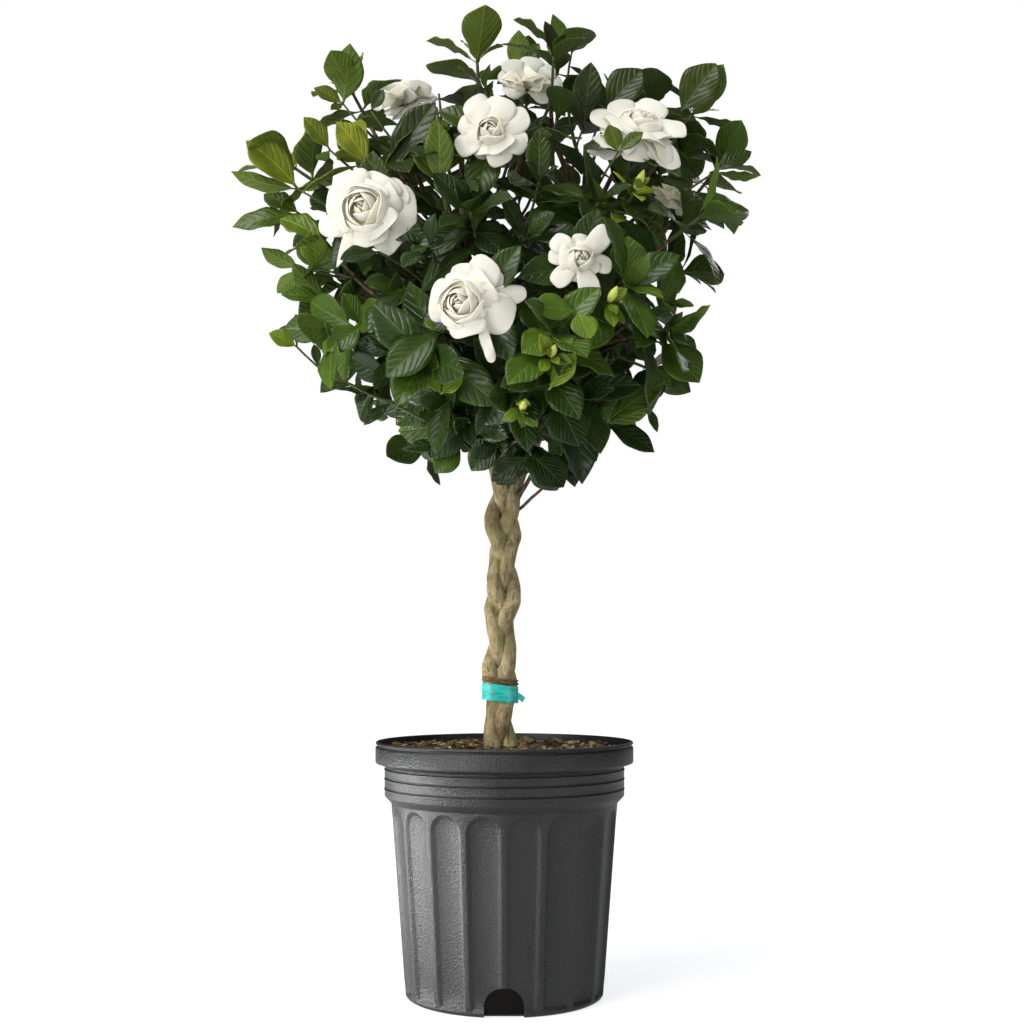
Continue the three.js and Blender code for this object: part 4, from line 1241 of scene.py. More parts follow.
def floor_material():
    """A pale ground that glows a little where the camera sees it, which keeps shadows on it faint."""
    shader = Shader("floor", {"Specular IOR Level": 0.1, "Emission Color": (0.95, 0.975, 1.0, 1)})
    soft = shader.noise(2)
    colour = shader.ramp(soft, [(0.3, (0.35, 0.35, 0.35)), (0.7, (0.37, 0.37, 0.37))])
    seen = shader.node("ShaderNodeLightPath").outputs["Is Camera Ray"]
    glow = shader.remap(seen, 0, 1, 0.25, 0.74, smooth=False)
    shader.feed(shader.surface.inputs["Emission Strength"], glow)
    return shader.finish(colour, 0.9)


# Pot

SECTOR = TAU / FLUTES
ARCH_CENTRE = BODY_TOP - 1.5 - FLUTE_HALF_TOP
EDGE_SHARES = [1 / math.tan(math.pi / 4 + k * math.pi / 2 / EDGE_STEPS) for k in range(EDGE_STEPS + 1)]


def band_groove(z):
    """A thin groove in the pot's band, with a raised line under it: radius and height."""
    deep = BAND_RADIUS - 1.3
    proud = BAND_RADIUS + 0.35
    return [(BAND_RADIUS, z - 2.0), (proud, z - 1.5), (proud, z - 0.9), (deep, z - 0.3), (deep, z + 0.3),
            (BAND_RADIUS, z + 0.9)]


# Profile of the pot above and below its flutes: radius and height, from the flutes outwards.
POT_UPPER = [
    (BODY_TOP_RADIUS, 174.6),
    (107.7, 180.4),
    (BAND_RADIUS, 181.6),
    *[point for z in BAND_GROOVES for point in band_groove(z)],
    (BAND_RADIUS, 207.6),
    (109.2, 208.3),
    (116.0, 210.7),
    (RIM_RADIUS, 211.5),
    (RIM_RADIUS, 224.0),
    (116.2, 224.9),
    (114.6, 226.0),
    (114.6, 226.6),
    (116.1, 227.5),
    (116.4, 228.2),
    (115.9, 229.5),
    (115.3, LIP_TOP),
    (114.4, LIP_TOP),
    (113.8, 229.4),
    (113.6, 228.6),
    (113.6, 213),
    (104.4, 209),
    (98.1, 177),
    (BODY_FOOT_RADIUS - 0.2 - WALL, FLOOR_THICKNESS),
]
POT_LOWER = [(89.7, 2.4), (88.8, 1.0), (87.4, 0.15), (86.4, 0), (79, 0)]


def body_radius(z):
    slope = (BODY_TOP_RADIUS - BODY_FOOT_RADIUS) / (BODY_TOP - FOOT_CHAMFER)
    return BODY_FOOT_RADIUS + slope * (z - FOOT_CHAMFER)


def flute_half(z):
    climb = (z - FLUTE_FOOT) / (ARCH_CENTRE - FLUTE_FOOT)
    return FLUTE_HALF_FOOT + (FLUTE_HALF_TOP - FLUTE_HALF_FOOT) * climb


def flute_loop(inset, depth):
    """Outline of a flute, drawn in and sunk: turn from the sector's middle, radius and height."""
    foot = FLUTE_FOOT + inset
    side = [foot + (ARCH_CENTRE - foot) * i / SIDE_ROWS for i in range(SIDE_ROWS)]
    outline = [(flute_half(z) - inset, z) for z in side]
    reach = FLUTE_HALF_TOP - inset
    for k in range(ARCH_STEPS + 1):
        turn = k * math.pi / ARCH_STEPS
        outline.append((reach * math.cos(turn), ARCH_CENTRE + reach * math.sin(turn)))
    outline += [(inset - flute_half(z), z) for z in reversed(side)]
    outline += [(-(flute_half(foot) - inset) * share, foot) for share in EDGE_SHARES[1:-1]]
    return [(across / body_radius(z), body_radius(z) - depth, z) for across, z in outline]


def sector_loop():
    """Edge of a flute's sector, with its points against those of the flute's outline."""
    half = SECTOR / 2
    side = [SECTOR_LOW + (ARCH_CENTRE - SECTOR_LOW) * i / SIDE_ROWS for i in range(SIDE_ROWS)]
    rise = SECTOR_HIGH - ARCH_CENTRE
    corner = ARCH_STEPS // 4
    upper = [ARCH_CENTRE + rise * math.tan(k * math.pi / ARCH_STEPS) for k in range(corner)]
    outline = [(half, z) for z in side + upper]
    outline += [(half * share, SECTOR_HIGH) for share in EDGE_SHARES]
    outline += [(-half, z) for z in reversed(side + upper)]
    outline += [(-half * share, SECTOR_LOW) for share in EDGE_SHARES[1:-1]]
    return [(turn, body_radius(z), z) for turn, z in outline]


def on_pot(turn, radius, z):
    return Vector(polar(radius, turn, z)) * MM


def bridge(mesh, low, high):
    """A band of faces between two closed rings."""
    for i in range(len(low)):
        j = (i + 1) % len(low)
        mesh.faces.new((low[i], low[j], high[j], high[i]))


def add_sector(mesh, heading):
    """One flute with its sloped wall and floor, in its sector of the pot's wall."""
    # From the sector's edge over the flute's rounded lip and down its wall to its floor.
    loops = [
        sector_loop(),
        flute_loop(-0.3, 0),
        flute_loop(0.2, 0.12),
        flute_loop(FLUTE_SLOPE - 0.5, FLUTE_DEPTH - 0.3),
        flute_loop(FLUTE_SLOPE + 0.1, FLUTE_DEPTH),
    ]
    placed = [[mesh.verts.new(on_pot(heading + turn, r, z)) for turn, r, z in loop] for loop in loops]
    for outer, inner in zip(placed, placed[1:]):
        bridge(mesh, outer, inner)
    floor = placed[-1]
    apex = SIDE_ROWS + ARCH_STEPS // 2
    last = 2 * apex
    mesh.faces.new([floor[0], floor[1], floor[last - 1], floor[last], *floor[last + 1:]])
    for i in range(1, apex - 1):
        mesh.faces.new((floor[i], floor[i + 1], floor[last - i - 1], floor[last - i]))
    mesh.faces.new((floor[apex - 1], floor[apex], floor[apex + 1]))


def add_rings(mesh, profile, turns):
    """Bands of faces through a profile, with its last ring closed."""
    rings = [[mesh.verts.new(on_pot(turn, r, z)) for turn in turns] for r, z in profile]
    for low, high in zip(rings, rings[1:]):
        bridge(mesh, low, high)
    mesh.faces.new(rings[-1])


def mesh_object(name, built, materials, crease):
    mesh = bpy.data.meshes.new(name)
    built.to_mesh(mesh)
    built.free()
    return shown(name, mesh, materials, crease)


def notch_outline():
    """A drain notch with its round top: distance from its middle, and height."""
    arc = NOTCH_HEIGHT - NOTCH_HALF
    outline = [(-NOTCH_HALF, -1), (NOTCH_HALF, -1)]
    for k in range(ARCH_STEPS + 1):
        turn = k * math.pi / ARCH_STEPS
        outline.append((NOTCH_HALF * math.cos(turn), arc + NOTCH_HALF * math.sin(turn)))
    return outline


def notch_cutter():
    """The blocks that cut the drain notches."""
    cutter = bmesh.new()
    for i in range(NOTCHES):
        heading = -math.pi / 2 + i * TAU / NOTCHES
        out = Vector((math.cos(heading), math.sin(heading), 0))
        across = Vector((-out.y, out.x, 0))
        ends = []
        for reach in (NOTCH_REACH, NOTCH_REACH + NOTCH_LONG):
            places = [out * reach + across * a + Vector((0, 0, z)) for a, z in notch_outline()]
            ends.append([cutter.verts.new(place * MM) for place in places])
        bridge(cutter, *ends)
        cutter.faces.new(ends[0])
        cutter.faces.new(ends[1])
    bmesh.ops.recalc_face_normals(cutter, faces=cutter.faces)
    return mesh_object("notch_cutter", cutter, [], 30)


def cut_away(piece, cutter):
    """Cuts one object out of another and removes the cutter."""
    cut = piece.modifiers.new("cut", "BOOLEAN")
    cut.operation = "DIFFERENCE"
    cut.solver = "EXACT"
    cut.object = cutter
    evaluated = piece.evaluated_get(bpy.context.evaluated_depsgraph_get())
    mesh = bpy.data.meshes.new_from_object(evaluated)
    piece.modifiers.clear()
    piece.data = mesh
    bpy.data.objects.remove(cutter)


def pot_piece():
    """The pot, with its flutes, bands, rim, foot and drain notches."""
    shell = bmesh.new()
    headings = [-math.pi / 2 + (i + 0.5) * SECTOR for i in range(FLUTES)]
    for heading in headings:
        add_sector(shell, heading)
    turns = []
    for heading in headings:
        turns += [heading - SECTOR / 2 * share for share in EDGE_SHARES[:-1]]
    add_rings(shell, [(body_radius(SECTOR_HIGH), SECTOR_HIGH), *POT_UPPER], turns)
    add_rings(shell, [(body_radius(SECTOR_LOW), SECTOR_LOW), *POT_LOWER], turns)
    bmesh.ops.remove_doubles(shell, verts=shell.verts, dist=POT_WELD)
    bmesh.ops.recalc_face_normals(shell, faces=shell.faces)
    piece = mesh_object("nursery_pot", shell, [plastic_material()], POT_CREASE)
    cut_away(piece, notch_cutter())
    piece.data.set_sharp_from_angle(angle=POT_CREASE * DEG)
    return settle(piece, "pot_plastic", "pot")


# Soil


def soil_height(x, y):
    """Height of the loose soil's lumpy top."""
    lump = sum(high * noise.noise(Vector((x / wide, y / wide, level))) for wide, level, high in SOIL_LUMPS)
    fall = max(0, math.hypot(x, y) - SOIL_FLAT) * SOIL_FALL
    return SOIL_TOP + SOIL_HEAP + lump - fall


def soil_piece():
    body = Body()
    turns = np.arange(SOIL_SIDES) * TAU / SOIL_SIDES
    rings = []
    for reach in [0.6] + [SOIL_RADIUS * (i / SOIL_RINGS) ** 0.9 for i in range(2, SOIL_RINGS + 1)]:
        ring = [polar(reach, turn) for turn in turns]
        rings.append([(x, y, soil_height(x, y)) for x, y, _ in ring])
    for reach, z in SOIL_WALL:
        rings.append([polar(reach, turn, z) for turn in turns])
    quads, ends = tube_faces(len(rings), SOIL_SIDES)
    body.add(np.array(rings), [(quads[:, ::-1], 0), (ends[:, ::-1], 0)])
    return settle(body.make("potting_mix", [soil_material()]), "soil", "soil")


def add_chip(body, centre, size, turn, tilt, draw):
    """An uneven flake of bark with eight corners."""
    corners = []
    for x in (-1, 1):
        for y in (-1, 1):
            for z in (-1, 1):
                corners.append([c * s / 2 * (0.75 + 0.5 * draw()) for c, s in zip((x, y, z), size)])
    corners = np.array(corners)
    c, s = math.cos(turn), math.sin(turn)
    lean = math.sin(tilt)
    x = corners[:, 0] * c - corners[:, 1] * s
    y = corners[:, 0] * s + corners[:, 1] * c
    z = corners[:, 2] + corners[:, 0] * lean
    faces = [(0, 1, 3, 2), (4, 6, 7, 5), (0, 4, 5, 1), (2, 3, 7, 6), (0, 2, 6, 4), (1, 5, 7, 3)]
    body.add(np.stack([x, y, z], -1) + centre, [(faces, 0)], draw())


def bark_chips():
    """Chips of bark strewn over the soil."""
    body = Body()
    draw = seeded_draws(CHIP_SEED)
    for _ in range(BARK_CHIPS):
        reach = CHIP_REACH * math.sqrt(draw())
        x, y, _ = polar(reach, draw() * TAU)
        large = 0.2 + draw() ** 4 * 0.75
        centre = np.array([x, y, soil_height(x, y) + 0.6 * large])
        add_chip(body, centre, CHIP_SIZE * large, draw() * TAU, (draw() - 0.5) * 0.9, draw)
    return settle(body.make("bark_chips", [chip_material()], 20), "soil")


# Trunk and branches


def stem_run(stem):
    """Points and radii of a stem from its foot to its leader's tip, with the stems grown together below."""
    path = []
    radii = []
    for z in np.linspace(STEM_FOOT, FORK, TRUNK_RINGS):
        centre = plait_point(stem["phase"], z)
        centre[0] += (1 - PLAIT_CLOSER) * (-trunk_lean(z) - centre[0])
        path.append(centre)
        radii.append(GROWN_RADIUS + 0.5 * noise.noise(Vector((stem["tone"] * 50, 0, z / 17))))
    for z in np.linspace(FORK, LEADER_TOP, LEADER_RINGS)[1:]:
        blend = min(1, (z - FORK) / FORK_BLEND)
        path.append(leader_point(stem, z) * (PLAIT_CLOSER + (1 - PLAIT_CLOSER) * blend, 1, 1))
        radii.append(leader_radius(z) + (GROWN_RADIUS - STEM_RADIUS) * (1 - blend))
    return path, radii


def stem_piece(stem, branches, materials):
    """A stem with its branches and bare twigs."""
    body = Body()
    tone = stem["tone"]
    path, radii = stem_run(stem)
    add_tube(body, path, radii, STEM_SIDES, tone, rough=1.3, grain=0.06)
    for branch in branches:
        radii = np.linspace(BRANCH_RADIUS, TWIG_RADIUS, len(branch))
        add_tube(body, branch, radii, BRANCH_SIDES, tone, slot=1, rough=0.3)
    for twig in stem["twigs"]:
        points = [point[:3] for point in twig]
        add_tube(body, points, [point[3] for point in twig], BRANCH_SIDES, 0.9, slot=1, rough=0.4)
    return settle(body.make(f"bark_{stem['name']}", materials), "bark", stem["name"])


def tie_reach(heading):
    """How far the stems reach towards a heading, over the height of the tape."""
    reach = 0
    for stem in STEMS:
        for z in range(TAPE_LOW - 2, TAPE_HIGH + 3):
            centre = plait_point(stem["phase"], z)
            along = centre[0] * math.cos(heading) + centre[1] * math.sin(heading)
            reach = max(reach, along + STEM_RADIUS)
    return reach


def tie_point(heading, clearance):
    """Point of a taut band round the stems, from the support lines on either side of a heading."""
    step = 0.01
    here = tie_reach(heading) + clearance
    slope = (tie_reach(heading + step) - tie_reach(heading - step)) / (2 * step)
    c, s = math.cos(heading), math.sin(heading)
    return here * c - slope * s, here * s + slope * c


def add_hoop(body, sections, tone=0.5, slot=0):
    """A closed ring through cross-sections that all have the same number of points."""
    count, size = len(sections), len(sections[0])
    i, j = np.meshgrid(np.arange(count), np.arange(size), indexing="ij")
    beside, above = (i + 1) % count, (j + 1) % size
    quads = np.stack([i * size + j, beside * size + j, beside * size + above, i * size + above], -1)
    body.add(np.array(sections), [(quads.reshape(-1, 4), slot)], tone)


def strip_outline(x):
    return np.full_like(x, 0.9)


TAPE_TAIL = {
    "outline": strip_outline,
    "length": 9,
    "width": 6,
    "rise": 0.5,
    "droop": 0.9,
    "fold": 0.1,
    "ripple": 0.05,
    "root": 3,
}


def tape_section(heading):
    """Cross-section of the creased tape: up its outside, and down its inside."""
    rows = np.linspace(TAPE_LOW, TAPE_HIGH, TAPE_ROWS)
    section = []
    for heights, thick in ((rows, TAPE_THICK), (rows[::-1], 0)):
        for z in heights:
            crease = 0.35 * noise.noise(Vector((heading * 2.2, z * 0.35, 5.0)))
            x, y = tie_point(heading, GAP + 0.2 + crease + thick)
            section.append((x, y, z - TAPE_SLANT * x + 0.6 * crease))
    return section


def tape_piece():
    """The tape round the stems, with the short tail of its knot."""
    body = Body()
    add_hoop(body, [tape_section(k * TAU / TAPE_STEPS) for k in range(TAPE_STEPS)])
    x, y = tie_point(TAIL_HEADING, GAP + 0.6)
    root = np.array([x - 3, y - 0.5, TAIL_HEIGHT])
    place = blade_place(root, TAIL_WAY, unit(TAIL_FACE))
    add_blade(body, place, TAPE_TAIL, (10, 5), TAPE_THICK, 0.2, (0, 0))
    return settle(body.make("tape_band", [tape_material()], 40), "tape", "tape_tie")


def fibre_ring(heading, level, thick):
    """Cross-section of an uneven turn of fibre."""
    x, y = tie_point(heading, thick * 0.4)
    wave = 0.5 * noise.noise(Vector((heading * 3, level, 1.0)))
    centre = np.array([x, y, level - TAPE_SLANT * x + wave])
    ring = []
    for j in range(FIBRE_SIDES):
        turn = j * TAU / FIBRE_SIDES
        reach = thick * (1 + 0.25 * noise.noise(Vector((heading * 6, turn, level))))
        ring.append(centre + reach * polar(math.cos(turn), heading, math.sin(turn)))
    return ring


def fibre_turns():
    """Turns of brown fibre round the trunk, just above the tape."""
    body = Body()
    for level, thick in FIBRE_TURNS:
        add_hoop(body, [fibre_ring(k * TAU / FIBRE_STEPS, level, thick) for k in range(FIBRE_STEPS)])
    return settle(body.make("fibre_turns", [fibre_material()]), "bark")


# Leaves and blooms


def fresh_shape(shape, draw):
    """A leaf's shape with the small unevenness of a real one."""
    return {
        **shape,
        "width": shape["width"] * (1.02 + 0.16 * draw()),
        "ripple": 0.012 + 0.016 * draw(),
        "phase": draw() * TAU,
        "waves": 2 + 1.5 * draw(),
        "sway": (draw() - 0.5) * 0.12,
        "cup": 0.25 * draw(),
    }


def shoot_leaf(base, heading, lean, length, bend):
    return {"base": base, "heading": heading, "lean": lean, "length": length, "bend": bend}


def add_young_tip(body, shoot, tone, draw):
    """Small young leaves and the pointed bud at a shoot's tip."""
    tip, direction = shoot["tip"], shoot["direction"]
    turn = draw() * TAU
    for k in range(3):
        heading = turn + k * TAU / 3
        length = shoot["leaf_length"] * (0.34 + 0.3 * draw())
        leaf = shoot_leaf(tip - direction * 1.2, heading, (22 + 26 * draw()) * DEG, length, draw())
        place = leaf_place(shoot, leaf["base"], leaf["heading"], leaf["lean"])
        value = min(1, tone + 0.12 + 0.12 * draw())
        add_blade(body, place, fresh_shape(leaf_shape(leaf), draw), LEAF_GRID, LEAF_THICK, value)
    points = [tip + direction * step for step in (-1, 2, 4.5, 7.5)]
    add_tube(body, points, (1.5, 1.4, 0.9, 0.15), 8, 0.9, 2)


def shoot_tone(index, shoot):
    number = index - len(BLOOMS)
    seen = 0 <= number < len(SHOOT_VALUES)
    return SHOOT_VALUES[number] if seen else LEAF_VALUES[shoot["tone"]]


def shoot_piece(index, shoot, materials):
    """A shoot's stem with the leaves of the CAD part, and young ones at its tip where no bloom is."""
    body = Body()
    draw = seeded_draws(SHOOT_SEED + index)
    tone = shoot_tone(index, shoot)
    stem = [shoot["tip"] - shoot["direction"] * step for step in np.linspace(shoot["stem"], 0, 8)]
    radii = np.linspace(TWIG_RADIUS, TWIG_RADIUS * 0.82, 8)
    add_tube(body, stem, radii, 10, 0.5, 2, rough=0.15)
    for place, shape in cad_leaves(shoot, index):
        value = tone + (draw() - 0.5) * 0.22
        add_blade(body, place, fresh_shape(shape, draw), LEAF_GRID, LEAF_THICK, value)
    if index >= len(BLOOMS):
        add_young_tip(body, shoot, tone, draw)
    slot = ("leaf_dark", "leaf_mid", "leaf_bright")[shoot["tone"]]
    name = shoot_name(index)
    return settle(body.make(f"leafy_{name}", materials), slot, name)


def bloom_seat(bloom):
    """Where a bloom's axis starts, the way it faces, and its radius."""
    x, y, z, dx, dy, dz, radius, _ = bloom
    direction = unit(np.array([dx, dy, dz], float))
    return np.array([x, y, z], float) - direction * BLOOM_DEPTH, direction, radius


def pointed_outline(x):
    """Half width of a petal that narrows from near its root to a point."""
    return np.maximum(x, 0) ** 0.4 * np.maximum(1 - x, 0) ** 0.8 / 0.4838


def wavy_petal(shape, draw):
    """A petal's shape with the waves and sway of a real one."""
    return {
        "outline": petal_outline,
        "crowd": 1.8,
        "neck": 0.0,
        "root": 1.6,
        "ripple": 0.025 + 0.045 * draw(),
        "phase": draw() * TAU,
        "waves": 0.9 + 1.4 * draw(),
        "sway": (draw() - 0.5) * 0.24,
        **shape,
    }


def heart_petal(centre, axes, scale, layer, heading, draw):
    """Outside and inside of a petal that wraps a bloom's heart, with its rim turned out a little."""
    direction, first, second = axes
    reach, height, rim_at, _, half_turn, _ = layer
    rows, cols = HEART_GRID
    wave = draw() * TAU
    lean = 0.9 + 0.6 * draw()
    sheets = []
    for half in (PETAL_THICK / 2, -PETAL_THICK / 2):
        for i in range(rows + 1):
            u = i / rows
            for j in range(cols + 1):
                v = 2 * j / cols - 1
                lobe = abs(v) ** 2.6 * 0.8 + 0.05 * math.sin(4 * v + wave)
                rim = rim_at + (HEART_FOOT - rim_at) * max(0, lobe)
                angle = (HEART_FOOT + (rim - HEART_FOOT) * u) * DEG
                turn = heading + v * half_turn * DEG
                flare = 1 + (0.03 + 0.03 * math.sin(5 * v + wave)) * u**5
                out = reach * flare + lean * v + half
                up = height * flare + 0.3 * lean * v + half
                way = first * math.cos(turn) + second * math.sin(turn)
                place = direction * (up * math.cos(angle)) + way * (out * math.sin(angle))
                sheets.append(centre + scale * place)
    places = np.zeros((len(sheets), 3))
    places[:, 0] = np.tile(np.repeat(np.linspace(0.15, 1, rows + 1), cols + 1), 2)
    places[:, 1] = np.tile(np.tile(np.linspace(-0.3, 0.3, cols + 1), rows + 1), 2)
    return sheets, places, (rows, cols)


def add_heart(body, seat, direction, radius, size, tone, layers, draw):
    """Petals wrapped over each other at the middle of a bloom."""
    axes = (direction, *sides_of(direction))
    scale = radius / HEART_RADIUS * size
    centre = seat + direction * HEART_DEPTH
    start = draw() * TAU
    for k, layer in enumerate(HEART_LAYERS[:layers]):
        count = layer[3]
        for i in range(count):
            heading = start + k * 0.9 + i * TAU / count + (draw() - 0.5) * 0.3
            sheets, places, grid = heart_petal(centre, axes, scale, layer, heading, draw)
            upper, lower, rim = blade_topology(*grid)
            body.add(sheets, [(upper, 2), (lower, 2), (rim, 2)], tone + layer[5], places)


def add_petal(body, bloom, heading, whorl, look, tone, draw):
    """A petal of the whorls that all blooms have."""
    seat, direction, radius = bloom_seat(bloom)
    *_, shorter = bloom
    right, up, opened, _, _, reach = look
    _, depth, lean, length, width, rise, droop, fold, cup, cream = whorl
    shift = np.array([right, 0, up], float)
    turn = (lean * opened + (draw() - 0.5) * 14) * DEG
    radial, along, face = blade_way(direction, (heading + (draw() - 0.5) * 26) * DEG, turn)
    root = seat + shift + direction * depth + radial * 2.2
    stretch = (1 - shorter * abs(along[2])) * (1 - along.dot(shift) / radius)
    shape = {
        "length": length * radius * stretch * reach * (0.92 + 0.16 * draw()),
        "width": width * radius * min(1, reach * 1.25) * (0.92 + 0.2 * draw()),
        "rise": rise,
        "droop": droop * (0.6 + 0.8 * draw()),
        "fold": fold,
        "cup": cup,
    }
    shape = wavy_petal(shape, draw)
    add_blade(body, (root, along, face), shape, PETAL_GRID, PETAL_THICK, tone + cream, (0, 0))


def add_petal_to(body, root, tip, facing, look, draw):
    """A petal between two points, arched towards the way its bloom faces."""
    width, tone, extra = look
    shape = {"length": np.linalg.norm(tip - root), "width": width, "fold": 0, **extra}
    place = blade_place(root, tip - root, facing)
    add_blade(body, place, wavy_petal(shape, draw), PETAL_GRID, PETAL_THICK, tone, (0, 0))


def add_seen_petals(body, index, bloom, heart, tone, draw):
    """The petals that the photo shows plainly."""
    _, direction, _ = bloom_seat(bloom)
    facing = unit(direction + np.array([0, -0.6, 0]))
    arched = {"rise": 0.34, "droop": 0.34, "cup": 0.5}
    for column, row, behind, width in SEEN_PETALS.get(index, []):
        tip = sighted(column, row, bloom[1] + behind)
        add_petal_to(body, heart + direction * 9, tip, facing, (width, tone, arched), draw)
    for number, from_column, from_row, column, row, behind, width, pointed in LONE_PETALS:
        if number == index:
            root = sighted(from_column, from_row, bloom[1] + behind)
            tip = sighted(column, row, bloom[1] + behind)
            bent = {"rise": 0.3, "droop": 0.4, "cup": 1.2, "sway": 0.05}
            if pointed:
                bent["outline"] = pointed_outline
            add_petal_to(body, root, tip, facing, (width, tone, bent), draw)


def bloom_piece(index, bloom, materials):
    """A bloom: its outer petals, its heart, and the green calyx behind them."""
    body = Body()
    draw = seeded_draws(BLOOM_SEED + index)
    seat, direction, radius = bloom_seat(bloom)
    tone = BLOOM_TONES.get(index, 0.0)
    look = BLOOM_LOOKS.get(index, PLAIN_LOOK)
    right, up, _, layers, heart_size, _ = look
    for whorl in PETAL_WHORLS:
        for heading in whorl[0]:
            add_petal(body, bloom, heading, whorl, look, tone, draw)
    heart = seat + np.array([right, 0, up], float)
    add_seen_petals(body, index, bloom, heart, tone, draw)
    add_heart(body, heart, direction, radius, heart_size, tone, layers, draw)
    calyx = [seat + direction * step for step in (0.2, 3, 7, 11, 14)]
    add_tube(body, calyx, (1.9, 2.6, 3.1, 3.3, 2.4), 12, 0.6, 1)
    name = bloom_name(index)
    return settle(body.make(f"petals_{name}", materials), "petal", name)


# Sprays and twigs between the shoots, and buds


def add_seen_leaf(body, base, tip, width, tone, facing, draw):
    """A leaf between two points, arched a little, that shows its upper side or its underside."""
    length = np.linalg.norm(tip - base)
    shape = {
        "outline": leaf_outline,
        "length": length,
        "width": width * length,
        "rise": 0.2,
        "droop": 0.2,
        "fold": 0.16,
    }
    place = blade_place(base, tip - base, facing * np.array([0.1, -0.9, 0.45]))
    add_blade(body, place, fresh_shape(shape, draw), LEAF_GRID, LEAF_THICK, tone)


def seen_twigs(materials):
    """Twigs and leaves that the photo shows plainly, each twig grown from the stem of its third."""
    body = Body()
    draw = seeded_draws(TWIG_SEED)
    for path, leaves in SEEN_TWIGS:
        points = [sighted(*pixel) for pixel in path]
        onward = points[1] - points[0] if len(points) > 1 else points[0] - CROWN_HEART
        way = branch_path(stem_for(points[0]), points[0], unit(onward), 0, 8)
        way = np.concatenate([way, points[1:]]) if len(points) > 1 else way
        add_tube(body, way, np.linspace(2.0, 0.9, len(way)), 7, 0.5, 2, rough=0.2)
        for at, column, row, depth, width, tone, facing in leaves:
            add_seen_leaf(body, points[at], sighted(column, row, depth), width, tone, facing, draw)
    return settle(body.make("twigs_outer", materials), "leaf_mid")


def hides_bloom(point):
    """Whether a point lies in front of a bloom, along its facing or as the photo sees it."""
    for bloom in BLOOMS:
        seat, direction, radius = bloom_seat(bloom)
        centre = seat + direction * BLOOM_DEPTH
        off = point - centre
        if off.dot(direction) > BLOOM_BACK and np.linalg.norm(off) < radius * BLOOM_CLEAR:
            return True
        sight = unit(centre - CAMERA_MM)
        ahead = off.dot(sight)
        if ahead < 0 and bloom[1] < 0 and np.linalg.norm(off - sight * ahead) < radius * BLOOM_SIGHT:
            return True
    return False


def in_the_clear(point):
    """Whether a point lies where the photo shows the ground behind the crown."""
    column, row = seen_at(point)
    return any(left < column < right and top < row < bottom for left, top, right, bottom in CLEAR_ZONES)


def spray_leaves(spray, draw):
    leaves = []
    tip, direction = spray["tip"], spray["direction"]
    turn = draw() * TAU
    for back, angle, size, count in SPRAY_ROWS:
        turn += math.pi / 3 + (draw() - 0.5) * 0.6
        for k in range(count):
            heading = turn + k * TAU / count + (draw() - 0.5) * 0.5
            radial = blade_way(direction, heading, math.pi / 2)[0]
            lean = (angle + (draw() - 0.5) * 26) * DEG
            length = spray["leaf_length"] * size * (0.85 + 0.3 * draw())
            leaves.append(shoot_leaf(tip - direction * back + radial * 1.2, heading, lean, length, draw()))
    return leaves


def add_spray(body, tip, leaf_length, tone, draw, grid):
    """A twig with small leaves, which leaves out those that would hide a bloom or fill a clear place."""
    scatter = (np.array([draw(), draw(), draw()]) - 0.5) * 0.5
    direction = unit(unit(tip - CROWN_HEART) + np.array([0, 0, 0.25]) + scatter)
    spray = {"tip": tip, "direction": direction, "leaf_length": leaf_length}
    seat = tip - direction * SPRAY_STEM
    path = branch_path(stem_for(seat), seat, direction, (draw() - 0.5) * SPRAY_SHIFT, SPRAY_STEPS)
    path = np.concatenate([path, [tip - direction * SPRAY_STEM / 2, tip]])
    add_tube(body, path, np.linspace(1.9, 1.1, len(path)), 6, 0.5, 2, rough=0.2)
    for leaf in spray_leaves(spray, draw):
        place = leaf_place(spray, leaf["base"], leaf["heading"], leaf["lean"])
        shape = fresh_shape(leaf_shape(leaf), draw)
        value = tone + (draw() - 0.5) * 0.24
        ends = [place[0] + place[1] * shape["length"] * share for share in (0.55, 1)]
        if not any(hides_bloom(end) or in_the_clear(end) for end in ends):
            add_blade(body, place, shape, grid, LEAF_THICK, value)


def seen_sprays(materials):
    """Sprays that the photo shows between the shoots."""
    body = Body()
    draw = seeded_draws(OUTER_SEED)
    for x, y, z, leaf_length, tone in SEEN_SPRAYS:
        add_spray(body, np.array([x, y, z], float), leaf_length, LEAF_VALUES[tone], draw, OUTER_GRID)
    return settle(body.make("sprays_outer", materials), "leaf_mid")


def inner_sprays(materials):
    """Darker sprays inside the crown, spread by a seeded rule."""
    body = Body()
    draw = seeded_draws(INNER_SEED)
    made = 0
    tries = 0
    while made < INNER_SPRAYS and tries < INNER_TRIES:
        tries += 1
        z = INNER_LOW + (INNER_HIGH - INNER_LOW) * draw()
        radius = crown_radius(min(z + 10, BACK_HIGH)) * (0.5 + 0.4 * draw())
        tip = polar(radius, tries * GOLDEN_ANGLE, z)
        if hides_bloom(tip):
            continue
        add_spray(body, tip, 46 + 10 * draw(), 0.12 + 0.24 * draw(), draw, INNER_GRID)
        made += 1
    return settle(body.make("sprays_inner", materials), "leaf_dark")


def bud_sprays(materials):
    """Closed buds with small leaves at the foot of each."""
    body = Body()
    draw = seeded_draws(BUD_SEED)
    for x, y, z, size in BUDS:
        tip = np.array([x, y, z], float)
        add_spray(body, tip, BUD_LEAF, BUD_LEAF_TONE, draw, BUD_GRID)
        way = unit(unit(tip - CROWN_HEART) + np.array([0, 0, 0.9]))
        steps = np.linspace(0, 1, 9)
        points = [tip + way * size * BUD_LONG * step for step in steps]
        radii = [size * BUD_WIDE * max(0.06, math.sin(math.pi * (0.16 + 0.8 * step))) for step in steps]
        add_tube(body, points, radii, 12, 0.5, 3)
    return settle(body.make("closed_buds", materials), "leaf_bright")


# Stage


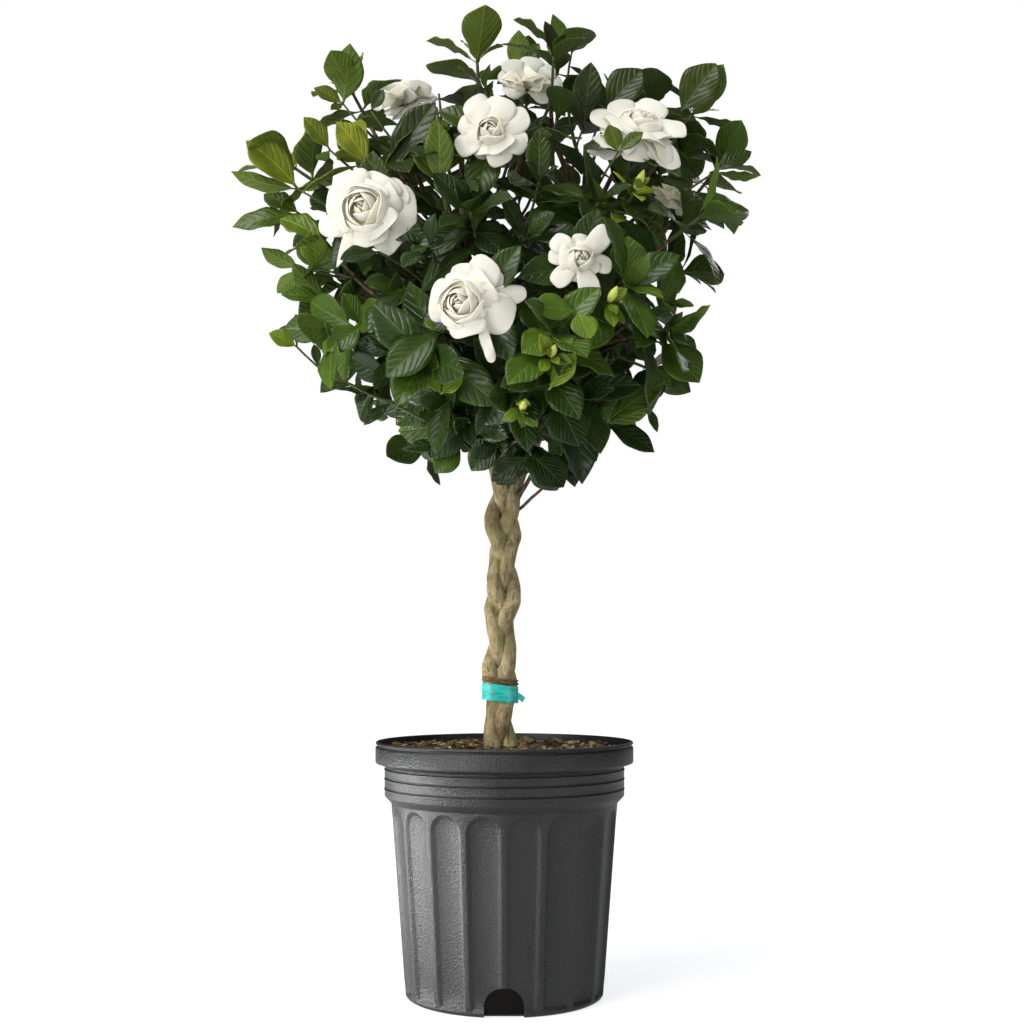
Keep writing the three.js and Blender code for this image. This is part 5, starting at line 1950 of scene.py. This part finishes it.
def camera_piece():
    data = bpy.data.cameras.new("camera")
    data.lens = CAMERA_LENS
    data.sensor_width = SENSOR
    data.shift_y = CAMERA_SHIFT
    camera = bpy.data.objects.new("camera", data)
    camera.location = CAMERA_AT
    camera.rotation_euler = (math.pi / 2, 0, 0)
    bpy.context.scene.collection.objects.link(camera)
    bpy.context.scene.camera = camera


def aimed(name, data, place, target):
    light = bpy.data.objects.new(name, data)
    light.location = place
    light.rotation_euler = (Vector(target) - Vector(place)).to_track_quat("-Z", "Y").to_euler()
    light.visible_camera = False
    bpy.context.scene.collection.objects.link(light)


def area_light(name, place, target, size, power):
    data = bpy.data.lights.new(name, "AREA")
    data.shape = "DISK"
    data.size = size
    data.energy = power
    aimed(name, data, place, target)


def studio():
    """Bright light, mostly from the left and above, on a white ground."""
    sun = bpy.data.lights.new("sun", "SUN")
    sun.energy = SUN_POWER
    sun.angle = SUN_SPREAD * DEG
    aimed("sun", sun, SUN_FROM, SUN_TO)
    for light in AREA_LIGHTS:
        area_light(*light)
    world = bpy.data.worlds.new("studio")
    world.use_nodes = True
    nodes = world.node_tree.nodes
    links = world.node_tree.links
    background = nodes["Background"]
    path = nodes.new("ShaderNodeLightPath")
    seen = nodes.new("ShaderNodeMapRange")
    seen.inputs["To Min"].default_value = SKY_LIGHT
    links.new(path.outputs["Is Camera Ray"], seen.inputs["Value"])
    mirrored = nodes.new("ShaderNodeMapRange")
    mirrored.inputs["To Max"].default_value = SKY_MIRRORED
    links.new(seen.outputs[0], mirrored.inputs["To Min"])
    links.new(path.outputs["Is Glossy Ray"], mirrored.inputs["Value"])
    links.new(mirrored.outputs[0], background.inputs["Strength"])
    background.inputs["Color"].default_value = (1, 1, 1, 1)
    bpy.context.scene.world = world
    bpy.context.scene.view_settings.view_transform = "Standard"


def floor():
    ground = bmesh.new()
    bmesh.ops.create_circle(ground, cap_ends=True, segments=96, radius=FLOOR_RADIUS)
    piece = mesh_object("floor", ground, [floor_material()], 30)
    piece.location = (0, 0, -FLOOR_DROP)


# The whole plant


def trunk(shoots):
    """The three stems, each with the branches that the CAD part has on it."""
    stem_points = {stem["name"]: node_points(stem["name"]) for stem in STEMS}
    branches = {stem["name"]: [] for stem in STEMS}
    for shoot in shoots:
        owner, path = cad_branch(shoot, stem_points)
        branches[owner["name"]].append(path)
    materials = [bark_material(), twig_material()]
    for stem in STEMS:
        stem_piece(stem, branches[stem["name"]], materials)


def blooms(shoot_stem):
    """All blooms, with petals that let more light through where the photo shows them so. Those petals and
    every heart are also painted lighter: painted light where they lie in shade.
    """
    petal = petal_material("petal", 0.3, PETAL_TONES)
    # Heart petals, and all petals of the listed blooms, get the lighter colours: painted light where they
    # lie in shade.
    bright = petal_material("petal_heart_painted_light", 0.75, HEART_TONES_WITH_PAINTED_LIGHT)
    for index, bloom in enumerate(BLOOMS):
        outer = bright if index in PAINTED_LIGHT_BLOOMS else petal
        bloom_piece(index, bloom, [outer, shoot_stem, bright])


def foliage(shoots, shoot_stem):
    """All leaves, with the twigs, sprays and buds that the scene adds."""
    leaf_materials = [leaf_material(), leaf_under_material(), shoot_stem]
    for index, shoot in enumerate(shoots):
        shoot_piece(index, shoot, leaf_materials)
    seen_sprays(leaf_materials)
    seen_twigs(leaf_materials)
    inner_sprays(leaf_materials)
    bud_sprays([*leaf_materials, bud_material()])


camera_piece()
studio()
floor()
pot_piece()
soil_piece()
bark_chips()
shoot_stem = shoot_stem_material()
shoots = all_shoots()
trunk(shoots)
tape_piece()
fibre_turns()
blooms(shoot_stem)
foliage(shoots, shoot_stem)
